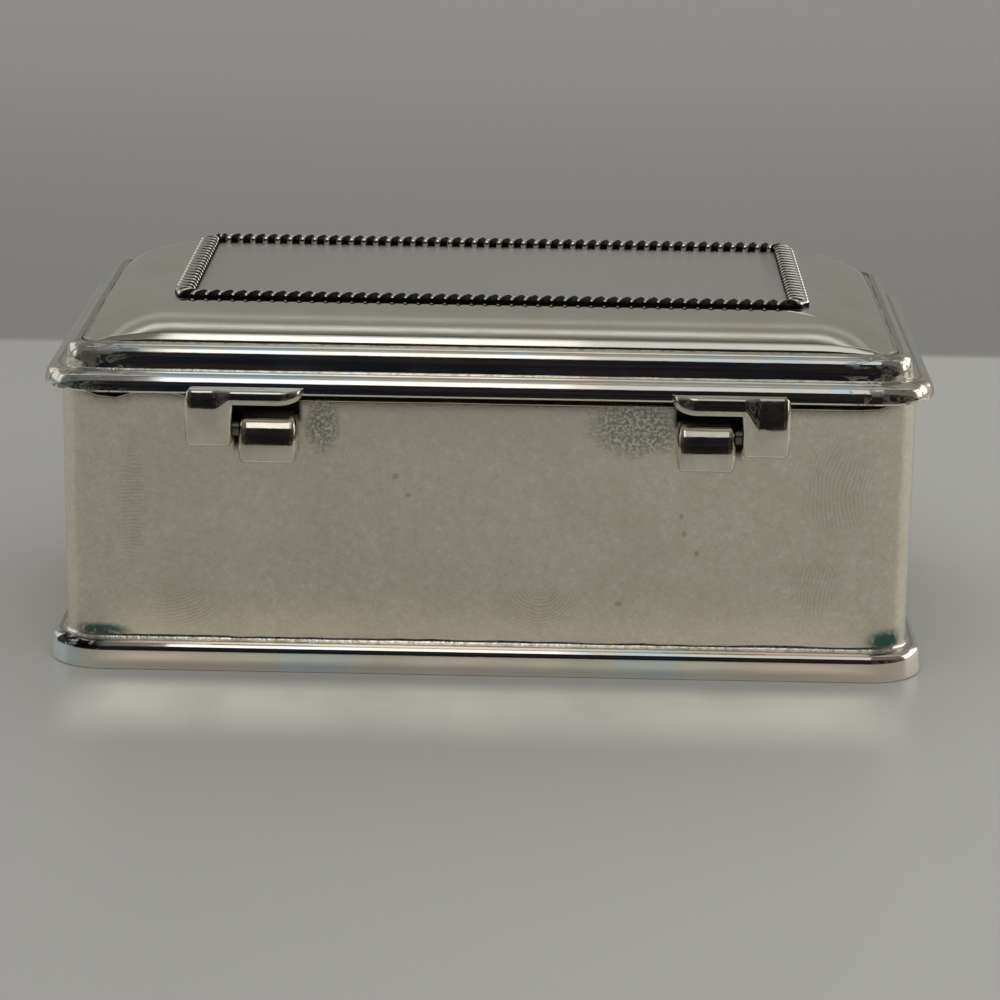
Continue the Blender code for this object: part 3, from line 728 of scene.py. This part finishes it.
# Hinge castings. Each profile is a list of (distance out from the wall, height).
WALL_BACK = WALL_WIDTH / 2
KNUCKLE_OUT = 5.5 * MM
BODY_ENDS = (26.8 * MM, 34.9 * MM)
LID_ENDS = (35.8 * MM, 42.45 * MM)
SHELF_START = 25.9 * MM
SHELF_STATIONS = 32
END_CHAMFER = 0.55 * MM
EDGE_CHAMFER = 0.45 * MM
# Per side: where the flat face ends, the long curve's radius, and the lowest level.
BODY_KNUCKLES = {"right": (33.75 * MM, 7.4 * MM, 31.8 * MM), "left": (33.6 * MM, 7.5 * MM, 31.6 * MM)}
LID_KNUCKLES = {"right": (39.0 * MM, 6.95 * MM, 34.1 * MM), "left": (36.8 * MM, 12.8 * MM, 33.8 * MM)}
# Per side: the shelf's underside, and where its flat lip ends.
SHELVES = {"right": (40.15 * MM, 40.65 * MM), "left": (39.8 * MM, 40.15 * MM)}
KNEE_LEAN = 24
TOP_JOIN = 1.05 * MM
CASTING_BACK = 0.35 * MM
# How far the castings reach back into the rim, and the radius of their knuckles' back.
RIM_OUT = LID_WIDTH / 2 - WALL_BACK - 0.3 * MM
KNUCKLE_BACK = 2.2 * MM
# The uneven treads of a casting's top, as shares of its depth and rise.
TREADS = ((0.30, 0.12), (0.36, 0.42), (0.62, 0.50), (0.68, 0.84), (0.86, 0.94), (1.0, 1.0))


def shrink(profile, depth):
    """A profile moved in under its own face."""
    return [(out - depth * math.cos(math.radians(lean)), height - depth * math.sin(math.radians(lean)))
            for out, height, lean in profile]


def loft(name, stations, material, sharp=40):
    """A closed solid from (x, profile) stations: a profile is a list of (out from the wall, height)."""
    rings = [[(x, WALL_BACK + out, height) for out, height in profile] for x, profile in stations]
    return skin(name, rings, material, False, sharp)


def chamfered(start, end, profile_at):
    """Stations from start to end, with both ends chamfered: profile_at(x, depth) gives the points."""
    run = end - start
    chamfer = math.copysign(END_CHAMFER, run)
    rows = [(start, END_CHAMFER), (start + 0.45 * chamfer, 0.42 * END_CHAMFER),
            (start + 0.8 * chamfer, 0.12 * END_CHAMFER), (start + chamfer, 0.0)]
    middle = [(start + chamfer + (run - 2 * chamfer) * step / 12, 0.0) for step in range(1, 12)]
    rows += middle + [(end - x + start, depth) for x, depth in rows[::-1]]
    return [(x, profile_at(x, depth)) for x, depth in rows]


def lower_edge(bottom, front, depth):
    """Back foot and chamfered lower edge of a casting, drawn in by a depth at its ends."""
    chamfer = EDGE_CHAMFER
    low, face = bottom + depth, front - depth
    return [(CASTING_BACK, low), (face - chamfer, low), (face - 0.55 * chamfer, low + 0.22 * chamfer),
            (face - 0.22 * chamfer, low + 0.55 * chamfer), (face, low + chamfer)]


def bored(made, start, end):
    """Cut the pin's hole through a casting, from end to end and a little beyond."""
    past = math.copysign(2 * MM, end - start)
    start, end = start - past, end + past
    shape = bmesh.new()
    turn = Matrix.Translation(((start + end) / 2, AXIS_Y, AXIS_Z)) @ Matrix.Rotation(math.pi / 2, 4, "Y")
    bmesh.ops.create_cone(shape, cap_ends=True, segments=40, radius1=BORE_RADIUS, radius2=BORE_RADIUS,
                          depth=abs(end - start), matrix=turn)
    mesh = bpy.data.meshes.new("bore")
    shape.to_mesh(mesh)
    shape.free()
    cutter = bpy.data.objects.new("bore", mesh)
    bpy.context.collection.objects.link(cutter)
    modifier = made.modifiers.new("bore", "BOOLEAN")
    modifier.operation = "DIFFERENCE"
    modifier.object = cutter
    bpy.context.view_layer.update()
    evaluated = made.evaluated_get(bpy.context.evaluated_depsgraph_get())
    cut = bpy.data.meshes.new_from_object(evaluated)
    made.modifiers.clear()
    made.data = cut
    cut.shade_smooth()
    cut.set_sharp_from_angle(angle=math.radians(35))
    bpy.data.objects.remove(cutter)
    return made


def body_knuckle(label, side, material):
    """Block on the back wall that holds the pin: flat lower face and a round top."""
    flat, radius, bottom = BODY_KNUCKLES[label]

    def profile_at(x, depth):
        wave = 0.05 * MM * noise.noise(Vector((x * 300, 0, 5)))
        curve = lean_arc((KNUCKLE_OUT, flat + wave), (
            (0, KNEE_LEAN, radius, 16), (KNEE_LEAN, 50.6, 2.76 * MM, 10), (50.6, 86, 2.3 * MM, 10)))
        points = lower_edge(bottom, KNUCKLE_OUT, depth) + shrink(curve, depth)
        return points + [(CASTING_BACK, points[-1][1])]

    start, end = (side * x for x in BODY_ENDS)
    made = loft("body_knuckle_" + label, chamfered(start, end, profile_at), material)
    bored(made, start, end)
    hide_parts("hinge_knuckle_" + label)
    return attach(made, "box")


def casting_curve(flat, knee):
    """Front of a lid casting from its flat face to its top edge, given where both curves meet."""
    radius = (knee - flat) / math.sin(math.radians(KNEE_LEAN))
    return lean_arc((KNUCKLE_OUT, flat), (
        (0, KNEE_LEAN, radius, 16), (KNEE_LEAN, 50, 0.5 * MM, 6), (50, 86, 0.35 * MM, 5)))


def casting_top(front, level, depth):
    """Uneven top of a casting, in low treads back to the rim's face."""
    rise = RIM_LOW + TOP_JOIN - level
    return [(front + (RIM_OUT - front) * share, level + rise * up - depth) for share, up in TREADS]


def lid_casting(label, side, material):
    """Casting under the rim: a shelf over the body's knuckle, and the lid's knuckle beside it."""
    flat, radius, bottom = LID_KNUCKLES[label]
    shelf, lip = SHELVES[label]
    knee = flat + radius * math.sin(math.radians(KNEE_LEAN))
    axis_out = AXIS_Y - WALL_BACK

    def knuckle_at(x, depth):
        # The flat face ends higher at the shelf's side of the knuckle.
        away = held_within((abs(x) - LID_ENDS[0] - 0.2 * MM) / (2.2 * MM))
        near = 1 - away * away * (3 - 2 * away)
        ends = flat + near * (lip - flat) + (1 - near) * 0.10 * MM * noise.noise(Vector((x * 500, 0, 8)))
        inner_end = abs(x) < LID_ENDS[0] + END_CHAMFER * 1.1
        curve = []
        for out, height, lean in casting_curve(ends, knee):
            # The end by the shelf is only chamfered below it.
            cut = depth * held_within((shelf - height) / (0.3 * MM)) if inner_end else depth
            curve += shrink([(out, height, lean)], cut)
        points = lower_edge(bottom, KNUCKLE_OUT, depth)[1:]
        points.append((KNUCKLE_OUT - depth, min(shelf - 0.32 * MM, ends - 0.05 * MM)))
        points += curve + casting_top(*curve[-1], 0 if inner_end else depth)
        points += [(RIM_OUT, RIM_LOW - TOUCH), (axis_out - KNUCKLE_BACK, RIM_LOW - 0.3 * MM)]
        for step in range(9):
            angle = math.pi + math.pi / 2 * step / 8
            points.append((axis_out + KNUCKLE_BACK * math.cos(angle),
                           AXIS_Z + (AXIS_Z - bottom - depth) * math.sin(angle)))
        return points

    def shelf_at(x):
        # Towards the middle of the box the shelf thins out and draws back to the rim.
        away = held_within((abs(x) - SHELF_START) / (3.6 * MM))
        taper = 1 - math.sqrt(max(0.0, 1 - (1 - away) ** 2))
        low = shelf + taper * (RIM_LOW - shelf + 0.4 * MM)
        start = lip + taper * (knee - lip - 0.1 * MM)
        pull = taper * (KNUCKLE_OUT - RIM_OUT - 0.7 * MM)
        corner = 0.22 * MM
        curve = shrink(casting_curve(max(start, low + corner), knee), 0)
        curve = [(out - pull, height) for out, height in curve]
        front = curve[0][0]
        points = [(front - corner, low), (front - 0.3 * corner, low + 0.3 * corner)] + curve
        points += casting_top(*curve[-1], 0)
        return points + [(RIM_OUT, low + TOUCH)]

    split, end = side * LID_ENDS[0], side * LID_ENDS[1]
    stations = []
    for step in range(SHELF_STATIONS + 1):
        share = 1 - (1 - step / SHELF_STATIONS) ** 1.6
        x = side * SHELF_START + (split + side * 0.15 * MM - side * SHELF_START) * share
        stations.append((x, shelf_at(x)))
    shelf_piece = loft("lid_shelf_" + label, stations, material, 50)
    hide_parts("hinge_bracket_" + label)
    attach(shelf_piece, "lid")
    made = loft("lid_hinge_" + label, chamfered(split, end, knuckle_at), material)
    bored(made, split, end)
    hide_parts("hinge_bracket_" + label)
    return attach(made, "lid")


# The pins' domed ends, as (millimetres in, share of the radius).
PIN_ENDS = ((0.02, 0.4), (0.1, 0.8), (0.25, 1.0))
PIN_STEPS = 32


def hinge_pin(label, side, material):
    """Pin through both knuckles, with slightly domed ends."""
    start, end = side * BODY_ENDS[0], side * LID_ENDS[1]
    stations = [(start + side * along * MM, share) for along, share in PIN_ENDS]
    stations += [(end - side * along * MM, share) for along, share in PIN_ENDS[::-1]]
    turns = [2 * math.pi * step / PIN_STEPS for step in range(PIN_STEPS)]
    rings = [[(x, AXIS_Y + PIN_RADIUS * share * math.cos(turn), AXIS_Z + PIN_RADIUS * share * math.sin(turn))
              for turn in turns] for x, share in stations]
    made = skin("pin_" + label, rings, material, False)
    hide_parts("hinge_pin_" + label)
    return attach(made, "box")


WIRE_WIDTH = 3.0 * MM
WIRE_FOOT = PANEL_TOP + 0.01 * MM
WIRE_HEIGHT = WIRE_TOP - WIRE_FOOT
LOBE_PITCH = 1.90 * MM
LOBE_STATIONS = 12
WIRE_ACROSS = 16
WIRE_SQUARENESS = 0.55
LOBE_SLANT = 0.5
# Lobes taper outwards: the power of their wave at the inner and the outer foot.
LOBE_TAPER = (1.0, 3.2)


def outline_walk(length, width, radius, count):
    """Evenly spaced places round an outline: a point, the way outwards, and the distance walked."""
    run_x, run_y = length - 2 * radius, width - 2 * radius
    bend = math.pi / 2 * radius
    total = 2 * (run_x + run_y) + 4 * bend
    starts = ((Vector((length / 2, -run_y / 2)), run_y), (Vector((run_x / 2, width / 2)), run_x),
              (Vector((-length / 2, run_y / 2)), run_y), (Vector((-run_x / 2, -width / 2)), run_x))
    places = []
    for step in range(count):
        left = total * step / count
        for side, (start, run) in enumerate(starts):
            facing = side * math.pi / 2
            outward = Vector((math.cos(facing), math.sin(facing)))
            along = Vector((-outward.y, outward.x))
            if left <= run:
                places.append((start + along * left, outward))
                break
            left -= run
            if left <= bend:
                turn = facing + left / radius
                centre = start + along * run - outward * radius
                outward = Vector((math.cos(turn), math.sin(turn)))
                places.append((centre + outward * radius, outward))
                break
            left -= bend
    return places, total


def gadroon_wire(material):
    """Square-shouldered wire cut into slanting lobes, with sharp dark grooves between them."""
    middle = (BORDER_LENGTH - WIRE_WIDTH, BORDER_WIDTH - WIRE_WIDTH, BORDER_RADIUS - WIRE_WIDTH / 2)
    _, total = outline_walk(*middle, 1)
    lobes = round(total / LOBE_PITCH)
    places, _ = outline_walk(*middle, lobes * LOBE_STATIONS)
    rings, grime_and_reflection_shares = [], []
    for index, (point, outward) in enumerate(places):
        phase = index % LOBE_STATIONS / LOBE_STATIONS
        along = Vector((-outward.y, outward.x))
        # The short sides are cut shallower and kept cleaner; the corners lean less.
        short = held_within((abs(outward.x) - 0.5) / 0.4)
        slant = LOBE_SLANT * (1 - 1.3 * min(abs(outward.x), abs(outward.y)))
        points = []
        for step in range(WIRE_ACROSS + 1):
            angle = math.pi * (1 - step / WIRE_ACROSS)
            side = math.copysign(abs(math.cos(angle)) ** WIRE_SQUARENESS, math.cos(angle))
            lift = abs(math.sin(angle)) ** WIRE_SQUARENESS
            outer = (1 + math.cos(angle)) / 2
            sharp = LOBE_TAPER[0] + (LOBE_TAPER[1] - LOBE_TAPER[0]) * outer ** 1.5
            lobe = math.sin(math.pi * phase) ** sharp
            deep = 0.50 - 0.34 * short * outer
            out = side * WIRE_WIDTH / 2 * (0.78 + 0.22 * lobe ** 0.6)
            up = lift * WIRE_HEIGHT * (1 - deep + deep * lobe ** 0.7)
            at = point + outward * out - along * out * slant
            points.append((at.x, at.y, WIRE_FOOT + up))
            # Painted dark reflection: the outer face holds black round its middle, below the bright tip of
            # each lobe.
            level = up / WIRE_HEIGHT
            held = held_within(1.4 - abs(level - 0.42) / 0.22) * (outer > 0.5)
            groove = (1 - lobe) ** 1.1 * 1.25 * (1 - short * min(0.9, 0.15 + 0.95 * outer))
            foot = short * max(0.0, 1 - level / 0.62)
            grime_and_reflection_shares.append(min(1.0, max(groove, held * 0.6 * (1 - short), foot)))
        rings.append(points)
    made = skin("gadroon_wire", rings, material, True, 60)
    grime_and_reflection = made.data.attributes.new("grime_and_reflection", "FLOAT", "POINT")
    grime_and_reflection.data.foreach_set("value", grime_and_reflection_shares)
    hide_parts("gadroon_border")
    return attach(made, "lid")


# Section of a bead of solder, as shares of its width and height.
BEAD_SECTION = ((0.0, 1.0), (0.05, 0.74), (0.14, 0.5), (0.28, 0.29), (0.46, 0.13), (0.7, 0.035),
                (1.0, 0.0), (0.0, 0.0))


def bead(name, outline, level, height, width, material, body, seed):
    """Uneven solder round an upright face: outline is the face, the bead lies against its outside."""
    length, width_y, radius = outline
    base = rounded_outline(length, width_y, radius)
    rings = []
    for out, up in BEAD_SECTION:
        grown = width * out
        row = []
        for point, face in zip(rounded_outline(length + 2 * grown, width_y + 2 * grown, radius + grown), base):
            place = Vector((face.x, face.y, seed * MM))
            wobble, fine = noise.noise(place * 170), noise.noise(place * 900)
            swell = 1 + 0.35 * wobble + 0.2 * fine
            shift = (point - face) * (0.9 + 0.3 * wobble)
            row.append((face.x + shift.x, face.y + shift.y, level + height * up * swell))
        rings.append(row)
    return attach(skin(name, rings, material, True, 70), body)


PAD_RINGS = 26
PAD_SEAM = 0.35
PAD_RADIUS = 3.2 * MM


def pad_shape(name, outline, low, high, facing, material):
    """A stuffed pad: flat back, rounded seam, and a crowned face with soft hollows.

    Facing is 1 for a pad that swells upwards from low, and -1 for one that swells downwards from high.
    """
    length, width, radius = outline
    thick = high - low
    back = low if facing > 0 else high
    rings = [(share, PAD_SEAM * (0.0 if share < 0.9 else (share - 0.9) / 0.1) ** 2)
             for share in (0.55, 0.75, 0.9, 0.97, 1.0)]
    for step in range(1, PAD_RINGS + 1):
        inward = (step / PAD_RINGS) ** 1.5
        crown = math.sin(math.pi / 2 * min(1, inward * 2.2 + 0.28 * step / PAD_RINGS))
        rings.append((1 - 0.93 * inward, PAD_SEAM + (1 - PAD_SEAM) * crown))
    points = []
    for share, lift in rings:
        inset = (1 - share) * width / 2
        row = []
        outer = ring(length - 2 * inset, width - 2 * inset, max(radius - inset, radius * share * 0.5), 0)
        for x, y, _ in outer:
            # The sides pull in a little between the corners.
            pull_x = 0.35 * MM * max(0.0, 1 - (2 * y / width) ** 2) * share ** 6
            pull_y = 0.45 * MM * max(0.0, 1 - (2 * x / length) ** 2) * share ** 6
            x -= math.copysign(min(abs(x), pull_x * min(1, abs(x) / length * 4)), x)
            y -= math.copysign(min(abs(y), pull_y * min(1, abs(y) / width * 4)), y)
            swell = noise.noise(Vector((x * 38, y * 38, facing))) * 0.10
            swell += noise.noise(Vector((x * 140, y * 140, facing))) * 0.035
            walk = math.atan2(y / width, x / length)
            pucker = noise.noise(Vector((math.cos(walk) * 9, math.sin(walk) * 9, facing * 3))) * 0.30
            swell += pucker * max(0.0, share - 0.55) * (1 - share) * 12
            level = lift * (0.90 + swell * min(1.0, lift)) if lift > PAD_SEAM else lift
            row.append((x, y, back + facing * thick * min(0.985, level)))
        points.append(row)
    return skin(name, points, material, False, 75)


LINING_STEPS = 22
LINING_THICKNESS = 1.35 * MM


def wall_lining(material):
    """Padded velvet lining round the inside of the walls, with a rolled upper edge."""
    gap = (WALL_LENGTH - 2 * WALL_THICKNESS - LINING_LENGTH) / 2
    radius = WALL_RADIUS - WALL_THICKNESS - gap
    thick = LINING_THICKNESS
    low, roll = LINING_LOW + TOUCH, LINING_TOP - 0.6 * MM
    section = [(TOUCH, low), (TOUCH, roll)]
    for step in range(1, 9):
        turn = math.pi * step / 8
        section.append((thick / 2 * (1 - math.cos(turn)), roll + 0.58 * MM * math.sin(turn)))
    inner = [(thick, roll - (roll - low) * step / LINING_STEPS) for step in range(1, LINING_STEPS + 1)]
    rings = []
    for number, (inset, height) in enumerate(section + inner):
        face = number >= len(section) - 4
        row = []
        for x, y, z in ring(LINING_LENGTH - 2 * inset, LINING_WIDTH - 2 * inset, radius - inset, height):
            if face:
                # Soft upright waves of the padding, kept within the card's depth.
                wave = 0.5 + 0.5 * noise.noise(Vector(((x + y) * 60, (x - y) * 60, z * 14)))
                fine = 0.5 + 0.5 * noise.noise(Vector((x * 240, y * 240, z * 90)))
                back = (0.26 * wave + 0.07 * fine) * MM
                reach = math.hypot(x, y)
                x += x / reach * back
                y += y / reach * back
            row.append((x, y, z))
        rings.append(row)
    made = skin("velvet_lining", rings, material, True, 80)
    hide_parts("wall_lining")
    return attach(made, "box")


def velvet_pads(material):
    """The floor pad and the lid's pad."""
    for name, node, body, facing, fill in (
            ("velvet_floor_pad", "floor_pad", "box", 1, 0.6),
            ("velvet_lid_pad", "lid_lining_pad", "lid", -1, 0.5)):
        length, width, low, high = node_size(node)
        made = pad_shape(name, (length, width, PAD_RADIUS), low, high, facing, material)
        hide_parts(node)
        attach(made, body)


def give(name, material):
    """Give a CAD node its finish."""
    for slot in frame["nodes"][name].material_slots:
        slot.material = material


FLOOR_NEAR = (0.375, 0.370, 0.347)
FLOOR_RIGHT = (0.44, 0.435, 0.405)
THROWN_LIGHT = (0.69, 0.665, 0.585)
BACKDROP_LOW = (0.230, 0.224, 0.210)
BACKDROP_HIGH = (0.345, 0.332, 0.310)
# The floor ends just behind the camera, so that the mouldings mirror the dark part of the studio.
FLOOR_CORNERS = ((-2.5, -2.5), (2.5, -2.5), (2.5, 0.62), (-2.5, 0.62))


def make_stage():
    """Pale floor, dimmer beyond the table's far edge, with painted light on one side of the table."""
    graph = Graph("floor_paint")
    level = graph.axis("Y")
    near = graph.span(level, -0.178, -0.172)
    # Painted light: the table is lighter towards -X.
    table = graph.mix(graph.span(graph.axis("X"), 0.05, -0.11), FLOOR_NEAR, FLOOR_RIGHT)
    beyond = graph.mix(graph.span(level, -0.18, -0.75), BACKDROP_LOW, BACKDROP_HIGH)
    tone = graph.mix(near, beyond, table)
    # Light thrown back on the table by the bright wall.
    streaks = graph.noise(14 * MM, 2, 0.6, graph.stretch((1, 0.4, 1)))
    thrown = graph.times(graph.past(level, 37, 44), graph.past(level, 68, 47),
                         graph.past(graph.aside(), 61, 52), graph.span(streaks, 0.30, 0.62, 0.70, 1.0))
    tone = graph.mix(thrown, tone, THROWN_LIGHT)
    speck = graph.noise(0.6 * MM, 2)
    tone = graph.mix(graph.span(speck, 0.45, 0.8, 0.0, 0.06), tone, (0.5, 0.5, 0.48))
    paint = graph.finish(tone, 0.42, 0.0, graph.bump(speck, 0.02 * MM))
    mesh = bpy.data.meshes.new("floor")
    mesh.from_pydata([(x, y, 0) for x, y in FLOOR_CORNERS], [], [(0, 1, 2, 3)])
    mesh.materials.append(paint)
    floor = bpy.data.objects.new("floor", mesh)
    bpy.context.collection.objects.link(floor)


# Brightness round the box, by direction in degrees: 0 is level towards the camera, 90 is overhead.
SURROUND = (
    (-180, 0.20), (-90, 0.21), (-14, 0.21), (-4, 0.010), (12, 0.006), (22, 0.016), (33, 0.008),
    (38, 0.13), (84, 0.13), (88, 0.07), (91, 0.11), (93.5, 0.40), (95, 0.85), (96.6, 0.45), (98, 0.21),
    (101, 0.23), (102, 0.27), (104, 0.37), (106, 0.30), (108, 0.25), (124, 0.235), (129, 0.75),
    (146, 0.75), (151, 0.26), (168, 0.245), (180, 0.21),
)
SURROUND_TINT = (1, 0.985, 0.95)
OVERHEAD = (0.24, 0.235, 0.22)
NAVY_SHADE = (0.004, 0.006, 0.013)
BROWN_SHADE = (0.020, 0.012, 0.010)
ROOM_PATCH = (0.075, 0.066, 0.053)
WINDOW = (1.5, 1.5, 1.45)
EVEN_LIGHT = (0.86, 0.86, 0.86)
BACKDROP = (0.225, 0.218, 0.203)


def make_world():
    """Soft even light for the colours; polished metal sees the studio's light and dark parts."""
    graph = Graph("studio", world=True)
    bpy.context.scene.world = graph.owner
    across, depth, up, beside = graph.axis("X"), graph.axis("Y"), graph.axis("Z"), graph.aside()
    # Directions: turn runs up and over from the camera's side, aside runs round to both sides.
    turn = graph.math("ARCTAN2", up, depth)
    aside = graph.math("ARCTAN2", beside, depth)

    def band(value, low, full, fade, high):
        """1 between full and fade, 0 beyond low and high."""
        return graph.times(graph.span(value, low, full), graph.span(value, high, fade))

    share = graph.plus(graph.math("DIVIDE", turn, 2 * math.pi), 0.5)
    ramp = graph.node("ShaderNodeValToRGB", {0: share})
    stops = ramp.color_ramp.elements
    while len(stops) < len(SURROUND):
        stops.new(0.5)
    for stop, (degrees, value) in zip(stops, SURROUND):
        stop.position = degrees / 360 + 0.5
        stop.color = (*(value * part for part in SURROUND_TINT), 1)

    right = graph.span(across, 0.10, -0.10)
    high = graph.times(band(aside, 1.45, 1.60, 2.40, 2.60), band(up, 0.02, 0.12, 0.48, 0.58),
                       graph.plus(graph.times(right, 0.62), 0.38))
    low = graph.times(band(aside, 2.25, 2.38, 2.68, 2.80), band(up, -0.45, -0.35, -0.12, 0.0), right)
    patches = graph.noise(1 / 3.5, 3, 0.5, distort=1.5)
    tones = graph.noise(1 / 14, 2, 0.5)
    shaded = band(turn, -0.1, -0.05, 0.56, 0.62)
    navy = graph.times(shaded, graph.span(tones, 0.50, 0.58))
    brown = graph.times(shaded, graph.span(tones, 0.44, 0.38))
    patchy = graph.times(band(aside, 0.14, 0.22, 1.4, 1.55), graph.span(patches, 0.47, 0.56),
                         band(turn, -0.2, -0.1, 0.5, 0.65))
    overhead = graph.times(graph.span(beside, 0.105, 0.135), graph.span(turn, 2.1, 2.2))
    studio = ramp.outputs["Color"]
    for layer, tone in ((overhead, OVERHEAD), (navy, NAVY_SHADE), (brown, BROWN_SHADE), (patchy, ROOM_PATCH),
                        (graph.largest(high, low), WINDOW)):
        studio = graph.mix(layer, studio, tone)

    path = graph.node("ShaderNodeLightPath").outputs
    mirrored = graph.largest(path["Is Glossy Ray"], path["Is Transmission Ray"])
    lit = graph.mix(mirrored, EVEN_LIGHT, studio)
    graph.put(graph.shader.inputs["Color"], graph.mix(path["Is Camera Ray"], lit, BACKDROP))


def add_light(name, place, target, size, radiance):
    """A soft rectangular light of a given brightness."""
    data = bpy.data.lights.new(name, "AREA")
    data.shape = "RECTANGLE"
    data.size, data.size_y = size
    data.energy = radiance * math.pi * size[0] * size[1]
    made = bpy.data.objects.new(name, data)
    made.location = place
    aim = Vector(target) - Vector(place)
    made.rotation_euler = aim.to_track_quat("-Z", "Y").to_euler()
    made.visible_camera = False
    bpy.context.collection.objects.link(made)


# Tiers of each light: lowest and highest angle over the box, and brightness.
LIGHT_TIERS = ((35, 68, 1.12), (68, 78, 1.0), (78, 88, 0.5))
LIGHT_REACH = 0.57
LIT_PLACE = Vector((0, 31 * MM, 46 * MM))


def add_tiers(name, middle, width, share):
    """A tall light over the camera, dimmer towards its top."""
    for number, (low, high, radiance) in enumerate(LIGHT_TIERS):
        centre = math.radians((low + high) / 2)
        tall = 2 * LIGHT_REACH * math.tan(math.radians((high - low) / 2))
        target = LIT_PLACE + Vector((middle, 0, 0))
        place = target + Vector((0, math.cos(centre), math.sin(centre))) * LIGHT_REACH
        add_light(name + "_%d" % number, place, target, (width, tall), radiance * share)


def make_lights():
    """A soft light above the camera, and a dimmer one beside it."""
    add_tiers("key_light", 48 * MM, 131 * MM, 1.0)
    add_tiers("side_card", -85 * MM, 134 * MM, 0.45)


bpy.context.scene.view_settings.view_transform = "Standard"
make_camera()
make_stage()
make_world()
make_lights()

silver = polished_silver()
castings = hinge_silver()
worn = worn_silver()
bright_solder = solder_finish("bright_solder", (0.90, 0.87, 0.80), (0.50, 0.46, 0.38), 0.12)
dull_solder = solder_finish("dull_solder", (0.66, 0.63, 0.56), (0.40, 0.37, 0.31), 0.30)
steel = pin_steel()
card = backing_card()
velvet = velvet_cloth()

base_moulding(silver)
rim_moulding(silver)
step_moulding(silver)
cover(cover_silver())
wall_band(worn)
gadroon_wire(gadroon_silver())
step_outline = (LID_LENGTH - 2 * STEP_INSET, LID_WIDTH - 2 * STEP_INSET, LID_RADIUS - STEP_INSET)
cover_outline = (LID_LENGTH - 2 * COVER_INSET, LID_WIDTH - 2 * COVER_INSET, COVER_RADIUS)
bead("step_solder", step_outline, RIM_TOP, 0.16 * MM, 0.75 * MM, bright_solder, "lid", 1)
bead("cover_solder", cover_outline, STEP_TOP, 0.12 * MM, 0.5 * MM, dull_solder, "lid", 2)
foot_outline = (WALL_LENGTH, WALL_WIDTH, WALL_RADIUS)
bead("foot_solder", foot_outline, BASE_TOP, 0.62 * MM, 0.7 * MM, bright_solder, "box", 3)

for label, side in (("left", -1), ("right", 1)):
    body_knuckle(label, side, castings)
    lid_casting(label, side, castings)
    hinge_pin(label, side, steel)
wall_lining(velvet)
velvet_pads(velvet)
give("base_plate", plate_silver())
give("mouth_bezel", bezel_silver_painted_shade())
for name in ("floor_board", "lid_lining_board"):
    give(name, card)
